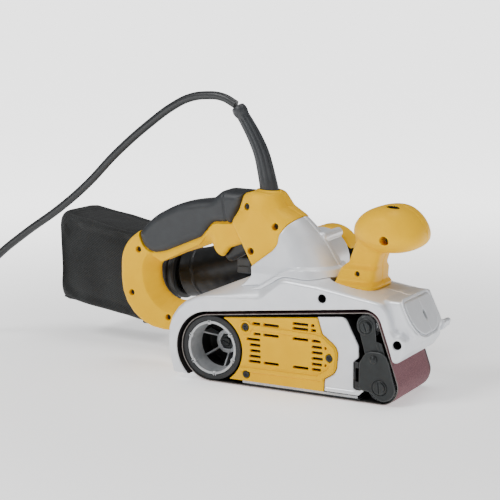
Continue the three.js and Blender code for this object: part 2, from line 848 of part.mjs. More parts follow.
function addRollers() {
  add("upper_roller", roller(UPPER_ROLLER, 0.9), STEEL);
  add("lower_roller", roller(LOWER_ROLLER, GAP), STEEL);
  add("upper_axle", rod(UPPER_ROLLER, AXLE_RADIUS, [-37, 37], 16), STEEL);
  add("lower_axle", rod(LOWER_ROLLER, AXLE_RADIUS, [-39.3, 37], 16), STEEL);
  const pivotHole = rod(PIVOT, 3.1, [-50, -30], 14);
  add("tracking_arm", prism(rounded(ARM_OUTLINE), ARM_Y).subtract(pivotHole), BLACK);
  add("tension_yoke", yoke(), BLACK);
  const pin = [
    [0, -37.3],
    [2, -37.3],
    [2, -42.1],
    [3.4, -42.1],
    [2.6, -43.6],
    [0, -44],
  ];
  add("pivot_pin", turned(PIVOT, pin, 12), DARK_STEEL);
  add("upper_axle_screw", slottedHead(UPPER_ROLLER, 4.6, [-41.2, -39.6], 70), DARK_STEEL);
  add("lower_axle_screw", slottedHead(LOWER_ROLLER, 5.4, [-43.7, -42.1], 95), DARK_STEEL);
  const guide = box([56.2, 61.8], [-39.2, -37.3], [12.2, 36.6]);
  const crossbarSlot = box([58.7, 63], [-41, -36], [18.8, 31.2]);
  add("slide_guide", guide.subtract(crossbarSlot), BLACK);
}

// The line of a spring wire wound along X.
class SpringCurve extends THREE.Curve {
  constructor(start, end, radius, turns, z) {
    super();
    Object.assign(this, { start, end, radius, turns, z });
  }
  getPoint(t, target = new THREE.Vector3()) {
    const turn = 2 * Math.PI * this.turns * t;
    return target.set(
      this.start + (this.end - this.start) * t,
      this.radius * Math.cos(turn),
      this.z + this.radius * Math.sin(turn),
    );
  }
}

function disc(radius, sides) {
  return new THREE.Shape(
    Array.from({ length: sides }, (_, k) => {
      const turn = (2 * Math.PI * k) / sides;
      return new THREE.Vector2(radius * Math.cos(turn), radius * Math.sin(turn));
    }),
  );
}

const LEVER_OUTLINE = [
  [66, 40, 6],
  [80, 38, 6],
  [109, 55.5, 3],
  [111.6, 64.5, 3],
  [103, 63, 3],
  [76, 52, 8],
  [64, 52, 6],
];
const LEVER_TAB = [
  [103.6, 55],
  [109, 55.8, 2.5],
  [111.4, 64.2, 2.5],
  [104.6, 62.6, 2],
];

function addTension() {
  const wire = new SpringCurve(44.2, 62.1, 3.4, 4, SPRING_POCKET.z);
  const spring = new THREE.ExtrudeGeometry(disc(0.6, 5), { steps: 36, extrudePath: wire, bevelEnabled: false });
  add("tension_spring", solid(spring), STEEL);
  const lever = prism(rounded(LEVER_OUTLINE), [44.4, 48.4]);
  const tab = prism(rounded(LEVER_TAB), [46, 61], 0.8);
  add("tension_lever", lever.add(tab), SILVER);
}

// ---- Tracking knob on the drive side
function addTracking() {
  const at = TRACKING_KNOB;
  const flutes = 8;
  const radius = 9;
  const cuts = Array.from({ length: flutes }, (_, i) => {
    const turn = (2 * Math.PI * i) / flutes;
    const reach = radius + 0.9;
    return rod({ x: at.x + reach * Math.cos(turn), z: at.z + reach * Math.sin(turn) }, 2, [46, 60], 6);
  });
  const profile = [
    [0, 39.8],
    [3, 39.8],
    [3, 44.5],
    [radius, 44.5],
    [radius, 54],
    [radius - 1.5, 55.5],
    [0, 55.5],
  ];
  const body = turned(at, profile, 24);
  add("tracking_knob", cuts.reduce((knob, cut) => knob.subtract(cut), body), BLACK);
}

// ---- Motor, dust fan and drive train
const ROTOR_Y = [0, 27];
const PULLEY_Y = [45, 50.6];
const GEAR_Y = [51.4, 56];

function toothedWheel(at, teeth, module, span, bore, phase) {
  const pitch = (teeth * module) / 2;
  const outline = Array.from({ length: teeth }, (_, i) => {
    const middle = phase + (2 * Math.PI * i) / teeth;
    const root = (0.62 * Math.PI) / teeth;
    const tip = (0.2 * Math.PI) / teeth;
    return [
      [pitch - 1.2 * module, middle - root],
      [pitch + 0.75 * module, middle - tip],
      [pitch + 0.75 * module, middle + tip],
      [pitch - 1.2 * module, middle + root],
    ].map(([r, a]) => new THREE.Vector2(at.x + r * Math.cos(a), at.z + r * Math.sin(a)));
  }).flat();
  return prism(outline, span).subtract(rod(at, bore, [span[0] - 1, span[1] + 1], 16));
}

function addDriveTrain() {
  const { pinionTeeth, drumTeeth, module } = GEARS;
  const towardsDrum = GEARS.slope + Math.PI;
  const pinion = toothedWheel(GEAR_PULLEY, pinionTeeth, module, [50, GEAR_Y[1]], 2, towardsDrum);
  const gearPhase = GEARS.slope + Math.PI / drumTeeth;
  const flange = rod(GEAR_PULLEY, 18, [PULLEY_Y[1] - 0.6, PULLEY_Y[1]], 28);
  const wheel = rod(GEAR_PULLEY, 17, PULLEY_Y, 28).add(flange);
  const stub = rod(GEAR_PULLEY, 4, [39.8, GEAR_Y[1]], 12);
  add("gear_pulley", wheel.add(pinion).add(stub), DARK_STEEL);
  add("drum_gear", toothedWheel(DRUM, drumTeeth, module, GEAR_Y, 6.3, gearPhase), STEEL);

  const motorWheel = { ...MOTOR, r: 8 };
  const bigWheel = { ...GEAR_PULLEY, r: 17 };
  const pair = [bigWheel, motorWheel];
  const beltSpan = [PULLEY_Y[0] + 0.2, PULLEY_Y[1] - 0.9];
  const inner = prism(bandAround(pair, GAP + 0.1, 32), [40, 60]);
  add("drive_belt", prism(bandAround(pair, 2, 32), beltSpan).subtract(inner), RUBBER);
  add("motor_pulley", turned(MOTOR, tubeProfile(3.3, 8, [44.6, PULLEY_Y[1]]), 20), STEEL);
}

function addMotor() {
  const [y0, y1] = ROTOR_Y;
  const atMotor = (body) => body.translate([MOTOR.x, 0, MOTOR.z]);
  const poles = turned(MOTOR, tubeProfile(14, 22, ROTOR_Y), 28);
  const flat = atMotor(box([-30, 30], [y0 - 1, y1 + 1], [19, 30]));
  const shaftAndCore = [
    [0, -16.5],
    [3, -16.5],
    [3, y0],
    [13.4, y0],
    [13.4, y1],
    [3, y1],
    [3, 66],
    [0, 66],
  ];
  const brush = box([8.9, 18], [-10.5, -4.5], [-3, 3]);
  add("motor_stator", poles.subtract(flat).subtract(flat.translate([0, 0, -49])), DARK_STEEL);
  add("armature", turned(MOTOR, shaftAndCore, 24), STEEL);
  add("commutator", turned(MOTOR, tubeProfile(3.3, 8.6, [-12, -3]), 20), COPPER);
  add("brush_holder_front", atMotor(brush), BRASS);
  add("brush_holder_rear", atMotor(brush.rotate([0, 180, 0])), BRASS);
  add("motor_bearing_right", turned(MOTOR, tubeProfile(3.3, 8, [-17.6, -13]), 16), STEEL);
  add("motor_bearing_left", turned(MOTOR, tubeProfile(3.3, 22.2, [33, 38.6]), 20), STEEL);
}

function addDustFan() {
  const blades = 6;
  const hubProfile = [
    [3.3, 57.8],
    [24, 57.8],
    [24, 58.8],
    [8, 59.4],
    [8, 64.6],
    [3.3, 64.6],
  ];
  let fan = turned(MOTOR, hubProfile);
  for (let i = 0; i < blades; i++) {
    const blade = box([7, 23.4], [58, 64.6], [-0.6, 0.6]).rotate([0, (360 / blades) * i, 0]);
    fan = fan.add(blade.translate([MOTOR.x, 0, MOTOR.z]));
  }
  add("dust_fan", fan, BLACK);
}

// ---- Covers on the drive side
const FAN_COVER_Y = [39.9, 69];
const DRIVE_COVER_Y = [44.3, 59.4];
const DRIVE_COVER_ENDS = [
  { x: -88.5, z: 34.2, r: 30.6 },
  { x: -31, z: 88, r: 21 },
];

function fanCover() {
  const outer = turned(
    MOTOR,
    [
      [0, FAN_COVER_Y[0]],
      [BULGE_RADIUS, FAN_COVER_Y[0]],
      [BULGE_RADIUS, FAN_COVER_Y[1] - 4],
      [BULGE_RADIUS - 4, FAN_COVER_Y[1]],
      [0, FAN_COVER_Y[1]],
    ],
    32,
  );
  const inside = rod(MOTOR, BULGE_RADIUS - 2.5, [FAN_COVER_Y[0] - 1, FAN_COVER_Y[1] - 2.4], 28);
  const beltSlot = box([-26, 26], [38, 56.5], [-40, 0]).rotate([0, 40, 0]).translate([MOTOR.x, 0, MOTOR.z]);
  const outlet = box([-60, MOTOR.x], [57.6, 66], [100, 118]);
  return outer.subtract(inside).subtract(beltSlot).subtract(outlet);
}

function driveCover(duct) {
  const inside = prism(bandAround(DRIVE_COVER_ENDS, -2, 36), [DRIVE_COVER_Y[0] - 1, DRIVE_COVER_Y[1] - 2.6]);
  return prism(bandAround(DRIVE_COVER_ENDS, 0, 36), DRIVE_COVER_Y, 1.5)
    .subtract(inside)
    .subtract(rod(MOTOR, BULGE_RADIUS + GAP, [30, 80], 32))
    .subtract(duct);
}

// ---- Dust duct, collar and bag
const DUCT_PATH = [
  [-42, 68.5, 110],
  [-76, 68, 106],
  [-112, 66, 99],
  [-150, 64, 88],
  [-172, 63, 82.5],
];
const INLET_AXIS = [
  [-36, 68.6, 110.7],
  [-44, 68.5, 109.8],
];
const SPIGOT_AXIS = [
  [-164, 63.4, 84.6],
  [-183, 62.6, 80.6],
];
const BAG_MIDDLE_Y = 80;

function duct(margin) {
  const radii = [11, 15, 18, 19.5, 19.5].map((r) => r + margin);
  return taperedTube(DUCT_PATH, radii, 16);
}

function bagRing(x, zMiddle, halfWidth, halfHeight, yMiddle) {
  const corner = 0.45;
  const sides = 20;
  return Array.from({ length: sides }, (_, k) => {
    const turn = (2 * Math.PI * k) / sides;
    const bulge = (v) => Math.sign(v) * Math.abs(v) ** corner;
    const lean = 0.16 * halfHeight * bulge(Math.sin(turn));
    return new THREE.Vector3(
      x + lean * 0.6,
      yMiddle + halfWidth * bulge(Math.cos(turn)),
      zMiddle + halfHeight * bulge(Math.sin(turn)),
    );
  });
}

function addDustPath() {
  const spigot = taperedTube(SPIGOT_AXIS, [17.2, 17.2], 16);
  const openEnds = [
    taperedTube(INLET_AXIS, [8.5, 8.5], 16),
    taperedTube(SPIGOT_AXIS.map(([x, y, z]) => [x - 1, y, z]), [15, 15], 16),
  ];
  const bore = openEnds.reduce((all, end) => all.add(end), duct(-2.5));
  add("dust_duct", duct(0).add(spigot).subtract(bore), BLACK);
  const collarAxis = [
    [-173.6, 63, 82.5],
    [-205, 66, 80],
  ];
  const ribs = [22.6, 24.4, 22.8, 24.4, 22.8, 24.4, 22.6];
  const collarBore = taperedTube(
    [
      [-168, 63, 83],
      [-212, 66.5, 79.6],
    ],
    [19.9, 19.9],
    16,
  );
  add("bag_collar", taperedTube(collarAxis, ribs, 16).subtract(collarBore), BLACK);
  const middle = BAG_MIDDLE_Y;
  const rings = [
    bagRing(-210.6, 80, 23, 23, 67),
    bagRing(-213, 72, 37, 40, middle),
    bagRing(-218, 72, 40, 43, middle),
    bagRing(-250, 77, 40, 43, middle),
    bagRing(-290, 83, 40, 43, middle),
    bagRing(-313, 86.5, 40, 43, middle),
    bagRing(-316, 87, 37, 40, middle),
  ];
  add("dust_bag", skin(rings), FABRIC);
}

// ---- Cord
const RELIEF_PATH = [
  [-47.4, 0, 170],
  [-48.6, 0, 180],
  [-55.6, 0, 209],
  [-63, 0, 226],
  [-72.4, 0, 241.6],
  [-82, 0, 255.4],
];
const CORD_PATH = [
  [-84, 0, 257.6],
  [-98, 0, 264],
  [-115, 0, 265.4],
  [-134, 0, 262.6],
  [-152, 0, 254],
  [-176, 0, 238.2],
  [-217, 0, 206],
  [-253, 0, 172.4],
  [-287, 0, 146],
  [-331, 0, 117],
  [-366, 0, 92],
  [-398, 0, 60],
  [-424, 0, 32],
  [-450, 0, 11.5],
  [-484, 4, 4.8],
];

function strainRelief() {
  const ridged = [8.6, 8.6, 8.6, 7.6, 7.9, 7, 7.4, 6.5, 6.9, 6, 6.4, 7.4, 7.2];
  const curve = new THREE.CatmullRomCurve3(RELIEF_PATH.map((p) => new THREE.Vector3(...p)));
  const boreAxis = [0.3, 0.44, 0.58, 0.72, 0.86, 1].map((t) => curve.getPoint(t).toArray());
  const bore = taperedTube([...boreAxis, [-86, 0, 260]], Array(9).fill(CORD_RADIUS + GAP), 10);
  return taperedTube(RELIEF_PATH, ridged, 12).subtract(bore);
}

function addCord() {
  add("strain_relief", strainRelief(), RUBBER);
  const path = new THREE.CatmullRomCurve3(CORD_PATH.map((p) => new THREE.Vector3(...p)));
  const along = { steps: 32, extrudePath: path, bevelEnabled: false };
  const tube = new THREE.ExtrudeGeometry(disc(CORD_RADIUS, 8), along);
  add("cord_tube", solid(tube), RUBBER);
  const { inner, outer } = COIL;
  const [bottom, top] = COIL.z;
  const corner = 4;
  const ring = [
    [inner, bottom + corner],
    [inner + corner, bottom],
    [outer - corner, bottom],
    [outer, bottom + corner],
    [outer, top - corner],
    [outer - corner, top],
    [inner + corner, top],
    [inner, top - corner],
  ].map(([r, z]) => new THREE.Vector2(r, z));
  const coil = new THREE.LatheGeometry([...ring, ring[0]], 26).rotateX(Math.PI / 2);
  add("cord_coil", solid(coil.translate(COIL.x, COIL.y, 0)), RUBBER);
  const { x, y, z } = PLUG;
  const plugAxis = [
    [x, y, z],
    [x + 24, y, z],
    [x + 48, y, z],
  ];
  const plug = taperedTube(plugAxis, [5, 6, 9, 12, 12, 11.4], 12);
  const pins = [-6, 6].map((side) => box([x + 46, x + 66], [y + side - 1, y + side + 1], [z - 3, z + 3]));
  add("cord_plug", pins.reduce((body, pin) => body.add(pin), plug), RUBBER);
}

// ---- Assembly
const outer = housingOuter();
addHalves("housing", housing(outer), SILVER);
addHalves("tower", tower(outer), SILVER);
addHandle(outer);
addKnob();
addBelt();
addFrame();
addDrum();
addRollers();
addTension();
addTracking();
addMotor();
addDustFan();
addDriveTrain();
add("fan_cover", fanCover(), YELLOW);
add("drive_belt_cover", driveCover(duct(0.5)), SILVER);
addDustPath();
addCord();

export default sander;
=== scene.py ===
# The looks of a handheld belt sander. Shapes are worked out in millimetres; finished meshes are in metres.
# X runs towards the nose, Z is up, and -Y is the open side where the belt is changed.
import math

import bpy
import numpy as np
import openvdb
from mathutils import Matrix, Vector


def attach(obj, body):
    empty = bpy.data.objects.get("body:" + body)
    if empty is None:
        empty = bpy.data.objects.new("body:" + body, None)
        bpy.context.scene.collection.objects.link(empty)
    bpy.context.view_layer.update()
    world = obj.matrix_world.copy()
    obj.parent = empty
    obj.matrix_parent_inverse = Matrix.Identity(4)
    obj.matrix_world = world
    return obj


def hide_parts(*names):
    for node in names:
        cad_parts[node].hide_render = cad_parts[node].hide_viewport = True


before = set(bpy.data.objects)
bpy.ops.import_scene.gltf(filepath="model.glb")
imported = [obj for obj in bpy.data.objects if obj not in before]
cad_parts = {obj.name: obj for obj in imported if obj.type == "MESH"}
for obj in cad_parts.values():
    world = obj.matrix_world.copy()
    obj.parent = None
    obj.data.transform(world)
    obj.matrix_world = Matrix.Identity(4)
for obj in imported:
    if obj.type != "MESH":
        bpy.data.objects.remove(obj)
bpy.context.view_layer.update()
MM = 0.001

# ---- Camera
camera_data = bpy.data.cameras.new("camera")
camera_data.lens = 108.1
camera_data.sensor_width = 36
camera = bpy.data.objects.new("camera", camera_data)
camera.location = (0.592, -1.227, 0.366)
camera.rotation_euler = (math.radians(80.042), 0, math.radians(28.319))
bpy.context.scene.collection.objects.link(camera)
bpy.context.scene.camera = camera


# ---- Meshes
def link(name, data, body, finish, nodes=()):
    """Put a piece in the scene, riding on its CAD body and standing for its CAD nodes."""
    obj = bpy.data.objects.new(name, data)
    bpy.context.scene.collection.objects.link(obj)
    data.materials.append(finish)
    if nodes:
        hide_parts(*nodes)
    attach(obj, body)
    return obj


def mesh_of(name, points, faces, normals=None):
    """A smooth mesh from points in millimetres."""
    mesh = bpy.data.meshes.new(name)
    mesh.from_pydata((np.asarray(points, float) * MM).tolist(), [], np.asarray(faces).tolist())
    mesh.polygons.foreach_set("use_smooth", [True] * len(mesh.polygons))
    if normals is not None:
        mesh.normals_split_custom_set_from_vertices(normals.tolist())
    mesh.update()
    return mesh


def ring_quads(rings, sides, outward=True):
    """The faces of a skin made of rings of that many points."""
    k = np.arange(sides)
    first = np.arange(rings - 1)[:, None] * sides
    a, b = first + k, first + (k + 1) % sides
    corners = (a, a + sides, b + sides, b) if outward else (a, b, b + sides, a + sides)
    return np.stack(corners, axis=-1).reshape(-1, 4).tolist()


def tube_mesh(name, centres, radii, sides, ridge=None):
    """A round skin with flat ends along a line of centres; ridge(angles, i) swells the radius."""
    centres = np.asarray(centres, float)
    along = np.gradient(centres, axis=0)
    along /= np.linalg.norm(along, axis=1)[:, None]
    across = np.cross(along, [0, 1, 0])
    across /= np.linalg.norm(across, axis=1)[:, None]
    other = np.cross(across, along)
    turn = np.arange(sides) * 2 * math.pi / sides
    rings = []
    for i, (c, u, v, r) in enumerate(zip(centres, across, other, radii)):
        ring = r + (ridge(turn, i) if ridge else 0.0)
        rings.append(c + np.outer(ring * np.cos(turn), u) + np.outer(ring * np.sin(turn), v))
    quads = ring_quads(len(rings), sides)
    last = (len(rings) - 1) * sides
    ends = [list(range(sides)), list(range(last, last + sides))[::-1]]
    mesh = bpy.data.meshes.new(name)
    mesh.from_pydata((np.concatenate(rings) * MM).tolist(), [], quads + ends)
    mesh.polygons.foreach_set("use_smooth", [True] * len(quads) + [False] * len(ends))
    return mesh


def curve_through(points, count):
    """Points evenly spaced on a smooth curve through the given ones."""
    p = np.asarray(points, float)
    ext = np.vstack([2 * p[0] - p[1], p, 2 * p[-1] - p[-2]])
    dense = []
    for i in range(1, len(ext) - 2):
        a, b, c, d = ext[i - 1 : i + 3]
        for t in np.linspace(0, 1, 24, endpoint=False):
            dense.append(
                0.5 * (2 * b + (c - a) * t + (2 * a - 5 * b + 4 * c - d) * t**2 + (3 * b - a - 3 * c + d) * t**3)
            )
    dense.append(p[-1])
    dense = np.array(dense)
    run = np.concatenate([[0], np.cumsum(np.linalg.norm(np.diff(dense, axis=0), axis=1))])
    want = np.linspace(0, run[-1], count)
    return np.stack([np.interp(want, run, dense[:, k]) for k in range(3)], axis=1)


# ---- Distance fields
class Block:
    """A lattice of points over a box; shapes are distance fields on it, negative inside."""

    def __init__(self, low, high, step):
        self.step = step
        self.low = np.floor(np.array(low, float) / step) * step
        self.count = np.ceil((np.array(high) - self.low) / step).astype(int) + 1
        x, y, z = (
            (start + step * np.arange(n, dtype=np.float32)).astype(np.float32) for start, n in zip(self.low, self.count)
        )
        self.x, self.y, self.z = x[:, None, None], y[None, :, None], z[None, None, :]

    def outline(self, points):
        """The distance to a closed XZ outline of corners [x, z, radius]."""
        return polygon(self.x, self.z, rounded(points))

    def disc(self, at, r):
        return apart(self.x, self.z, at) - r

    def slab(self, y0, y1):
        return np.abs(self.y - (y0 + y1) / 2) - (y1 - y0) / 2

    def plate(self, flat, y0, y1, edge=0.0):
        """An XZ shape carried along Y, its long edges rounded."""
        return meet(flat, self.slab(y0, y1), edge)

    def prism(self, points, y0, y1, edge=0.0):
        return self.plate(self.outline(points), y0, y1, edge)

    def around(self, at):
        """The angle about an axis along Y."""
        return np.arctan2(self.z - at[1], self.x - at[0])

    def rod(self, at, r, y0, y1, edge=0.0):
        return self.plate(self.disc(at, r), y0, y1, edge)

    def bar(self, a, b, r0, r1=None):
        """A round bar between two points, its radius going from r0 to r1."""
        a, b = np.array(a, np.float32), np.array(b, np.float32)
        d = b - a
        px, py, pz = self.x - a[0], self.y - a[1], self.z - a[2]
        t = np.clip((px * d[0] + py * d[1] + pz * d[2]) / float(d @ d), 0, 1)
        r = r0 if r1 is None else r0 + (r1 - r0) * t
        return np.sqrt((px - t * d[0]) ** 2 + (py - t * d[1]) ** 2 + (pz - t * d[2]) ** 2) - r

    def box(self, xs, ys, zs, edge=0.0):
        sides = ((self.x, xs), (self.y, ys), (self.z, zs))
        q = [np.abs(v - (low + high) / 2) - (high - low) / 2 + edge for v, (low, high) in sides]
        out = np.sqrt(sum(np.maximum(v, 0) ** 2 for v in q))
        return out + np.minimum(np.maximum(np.maximum(q[0], q[1]), q[2]), 0) - edge

    def cut(self, other, fillet=0.0):
        self.body = cut(self.body, other, fillet)

    def join(self, other, fillet=0.0):
        self.body = join(self.body, other, fillet)

    def meet(self, other, edge=0.0):
        self.body = meet(self.body, other, edge)

    def bore(self, places, r, y0, y1, fillet=0.0):
        """Round holes along Y."""
        for at in places:
            self.cut(self.rod(at, r, y0, y1), fillet)

    def mesh(self, name, field):
        reach = 3 * self.step
        field = np.clip(np.broadcast_to(field, tuple(self.count)), -reach, reach).astype(np.float32)
        for axis in range(3):
            ends = [slice(None)] * 3
            for k in (0, -1):
                ends[axis] = k
                field[tuple(ends)] = np.maximum(field[tuple(ends)], self.step)
        grid = openvdb.FloatGrid(reach)
        grid.copyFromArray(field, (0, 0, 0), 0.0)
        points, quads = grid.convertToQuads(0.0)
        points = points.astype(float)
        for _ in range(2):
            value, slope = probe(field, points)
            size = np.maximum((slope**2).sum(1), 1e-6)
            points -= np.clip(value / size, -0.5, 0.5)[:, None] * slope
        slope = probe(field, points)[1]
        normals = slope / np.maximum(np.linalg.norm(slope, axis=1), 1e-9)[:, None]
        return mesh_of(name, points * self.step + self.low, quads, normals)


def apart(x, z, at):
    """How far XZ points are from the axis at that place."""
    return np.hypot(x - at[0], z - at[1])


def probe(field, p):
    """The field and its slope at points in lattice units."""
    top = np.array(field.shape) - 2
    i = np.clip(np.floor(p).astype(int), 0, top)
    f = p - i
    value = np.zeros(len(p))
    slope = np.zeros((len(p), 3))
    for corner in range(8):
        bit = np.array([corner & 1, corner >> 1 & 1, corner >> 2 & 1])
        v = field[tuple((i + bit).T)]
        w = np.where(bit, f, 1 - f)
        s = np.where(bit, 1.0, -1.0)
        value += v * w[:, 0] * w[:, 1] * w[:, 2]
        slope[:, 0] += v * s[0] * w[:, 1] * w[:, 2]
        slope[:, 1] += v * s[1] * w[:, 0] * w[:, 2]
        slope[:, 2] += v * s[2] * w[:, 0] * w[:, 1]
    return value, slope


def polygon(x, z, points):
    best, inside = None, False
    points = [(float(a), float(b)) for a, b in points]
    for (ax, az), (bx, bz) in zip(points, points[1:] + points[:1]):
        ex, ez = bx - ax, bz - az
        if ex == ez == 0:
            continue
        t = np.clip(((x - ax) * ex + (z - az) * ez) / (ex * ex + ez * ez), 0, 1)
        d = (x - ax - t * ex) ** 2 + (z - az - t * ez) ** 2
        best = d if best is None else np.minimum(best, d)
        if ez != 0:
            inside = inside ^ (((az > z) != (bz > z)) & (x < ex * (z - az) / ez + ax))
    return np.where(inside, -np.sqrt(best), np.sqrt(best)).astype(np.float32)


def meet(a, b, edge=0.0):
    """Where both are, with a rounded edge."""
    if edge <= 0:
        return np.maximum(a, b)
    a, b = a + edge, b + edge
    return np.minimum(np.maximum(a, b), 0) + np.hypot(np.maximum(a, 0), np.maximum(b, 0)) - edge


def join(a, b, fillet=0.0):
    """Both, with a filleted corner between them."""
    if fillet <= 0:
        return np.minimum(a, b)
    h = np.clip(0.5 + 0.5 * (b - a) / fillet, 0, 1)
    return b * (1 - h) + a * h - fillet * h * (1 - h)


def cut(a, b, fillet=0.0):
    """a without b."""
    return -join(-a, b, fillet)


def rounded(corners, steps=6):
    """An outline from corners [x, z, radius]."""
    out = []
    pts = [np.array(c[:2], float) for c in corners]
    for i, c in enumerate(corners):
        r = c[2] if len(c) > 2 else 0
        p = pts[i]
        if not r:
            out.append(tuple(p))
            continue
        a = pts[i - 1] - p
        b = pts[(i + 1) % len(pts)] - p
        a, b = a / np.linalg.norm(a), b / np.linalg.norm(b)
        half = math.acos(np.clip(a @ b, -1, 1)) / 2
        m = (a + b) / np.linalg.norm(a + b)
        centre = p + m * r / math.sin(half)
        start, end = (p + v * r / math.tan(half) - centre for v in (a, b))
        t0, t1 = (math.atan2(v[1], v[0]) for v in (start, end))
        sweep = (t1 - t0 + 3 * math.pi) % (2 * math.pi) - math.pi
        for k in range(steps + 1):
            t = t0 + sweep * k / steps
            out.append((centre[0] + r * math.cos(t), centre[1] + r * math.sin(t)))
    return out


def band(circles, margin, steps=72):
    """The outline of a band round circles [x, z, r], listed anticlockwise."""

    def tangent(a, b):
        along = math.atan2(b[1] - a[1], b[0] - a[0])
        return along - math.pi / 2 + math.asin((a[2] - b[2]) / math.hypot(b[0] - a[0], b[1] - a[1]))

    out = []
    for i, c in enumerate(circles):
        t0, t1 = tangent(circles[i - 1], c), tangent(c, circles[(i + 1) % len(circles)])
        sweep = (t1 - t0 + 4 * math.pi) % (2 * math.pi)
        count = max(4, round(steps * sweep / (2 * math.pi)))
        for k in range(count + 1):
            t = t0 + sweep * k / count
            out.append((c[0] + (c[2] + margin) * math.cos(t), c[1] + (c[2] + margin) * math.sin(t)))
    return out


# ---- Materials
def add_node(tree, kind, feeds=None, **settings):
    """A shader node with its settings; feeds gives its inputs a value or another node's output."""
    made = tree.nodes.new("ShaderNode" + kind)
    for key, value in settings.items():
        setattr(made, key, value)
    for key, value in (feeds or {}).items():
        if isinstance(value, bpy.types.NodeSocket):
            tree.links.new(value, made.inputs[key])
        else:
            made.inputs[key].default_value = value
    return made


def finish(
    name, light, dark, rough, wear=None, metal=0.0, mottle=60.0, grain=1500.0, depth=0.1, stretch=None, sheen=0.0,
    tint=(1, 1, 1),
):
    """A moulded, cast or turned surface: mottled colour, uneven gloss, a fine grain and lighter worn edges."""
    made = bpy.data.materials.new(name)
    made.use_nodes = True
    tree = made.node_tree
    shader = tree.nodes["Principled BSDF"]
    at = add_node(tree, "TexCoord").outputs["Object"]
    if stretch:
        at = add_node(tree, "Mapping", {"Scale": stretch, "Vector": at}).outputs["Vector"]

    def noise(scale, detail):
        return add_node(tree, "TexNoise", {"Scale": scale, "Detail": detail, "Vector": at}).outputs["Fac"]

    def ramp(source, *stops):
        made_ramp = add_node(tree, "ValToRGB", {"Fac": source})
        for stop, (place, colour) in zip(made_ramp.color_ramp.elements, stops):
            stop.position, stop.color = place, (*colour, 1)
        return made_ramp.outputs["Color"]

    blotches, fine = noise(mottle, 4), noise(grain, 2)
    colour = ramp(blotches, (0.3, dark), (0.7, light))
    if wear:
        edge = add_node(tree, "NewGeometry").outputs["Pointiness"]
        mask = ramp(edge, (0.515, (0, 0, 0)), (0.56, (0.5, 0.5, 0.5)))
        worn = add_node(tree, "Mix", {"Factor": mask, "A": colour, "B": (*wear, 1)}, data_type="RGBA")
        colour = worn.outputs["Result"]
    gloss = ramp(fine, (0.3, (rough[0],) * 3), (0.7, (rough[1],) * 3))
    bump = add_node(tree, "Bump", {"Strength": depth, "Distance": 0.0002, "Height": fine})
    for socket, source in (("Base Color", colour), ("Roughness", gloss), ("Normal", bump.outputs["Normal"])):
        tree.links.new(source, shader.inputs[socket])
    shader.inputs["Metallic"].default_value = metal
    shader.inputs["Sheen Weight"].default_value = sheen
    shader.inputs["Specular Tint"].default_value = (*tint, 1)
    return made


def shade(*rgb):
    """A display colour of 0-255 as the linear one the shader takes."""
    return tuple(((v / 255 + 0.055) / 1.055) ** 2.4 if v > 10 else v / 255 / 12.92 for v in rgb)


def toned(name, light, dark, rough, wear=None, **more):
    """A finish from display colours."""
    return finish(name, shade(*light), shade(*dark), rough, wear and shade(*wear), **more)


YELLOW = finish(
    "yellow_plastic", (0.9, 0.5, 0), (0.85, 0.45, 0), (0.38, 0.5), (0.95, 0.58, 0), grain=1300, tint=(1, 0.6, 0.02)
)
SILVER = toned(
    "silver_paint", (236, 238, 242), (226, 229, 234), (0.3, 0.46), (248, 249, 250), metal=0.35, grain=2400, depth=0.12
)
RUBBER = toned("soft_rubber", (44, 47, 50), (38, 40, 43), (0.42, 0.56), grain=2200, depth=0.3, mottle=90)
CORD_RUBBER = toned("cord_rubber", (34, 36, 38), (28, 30, 32), (0.36, 0.48), grain=1800, depth=0.12)
BLACK = toned("black_plastic", (22, 24, 26), (16, 18, 20), (0.34, 0.5), (60, 62, 64), depth=0.14)
# Painted shade: a near-black laid on holes, hollows and insides that sit in shadow.
SHADE = toned("painted_shade_black", (14, 14, 15), (11, 11, 12), (0.6, 0.8), grain=900, depth=0.2, mottle=140)
GREY = toned("grey_plastic", (84, 88, 92), (74, 78, 82), (0.4, 0.55), grain=1400, depth=0.12)
DARK_STEEL = toned(
    "blackened_steel", (36, 40, 41), (28, 31, 32), (0.32, 0.46), (104, 106, 106), metal=0.3, grain=900, mottle=160
)
STEEL = toned(
    "bright_steel", (188, 190, 193), (160, 162, 166), (0.2, 0.38), metal=0.95, grain=700, depth=0.08,
    stretch=(1, 0.08, 1), mottle=120,
)
CAST = toned(
    "cast_alloy", (184, 186, 188), (160, 163, 166), (0.38, 0.56), (220, 222, 224), metal=0.3, grain=1100, depth=0.25,
    mottle=140,
)
TYRE = toned("drum_rubber", (36, 38, 40), (28, 30, 32), (0.5, 0.7), grain=1600, depth=0.35)
GRIT = toned("abrasive_grit", (150, 104, 110), (104, 70, 76), (0.7, 0.95), grain=2600, depth=1.0, mottle=1100)
BACKING = toned("belt_backing", (34, 32, 31), (26, 25, 24), (0.7, 0.85), grain=2000, depth=0.5)
BELT_EDGE = toned("belt_cut_edge", (150, 144, 140), (110, 104, 100), (0.7, 0.85), grain=1600, depth=0.4, mottle=400)
BRASS = toned("brass", (196, 164, 92), (170, 138, 70), (0.25, 0.4), metal=0.9, grain=900)
COPPER = toned("copper", (196, 124, 84), (168, 96, 60), (0.3, 0.45), metal=0.9, grain=600, stretch=(1, 0.2, 1))
POTTING = toned("module_resin", (40, 44, 50), (28, 32, 38), (0.35, 0.5), grain=800)
PAD = toned("graphite_pad", (40, 42, 44), (30, 32, 34), (0.6, 0.8), grain=1400, depth=0.4)


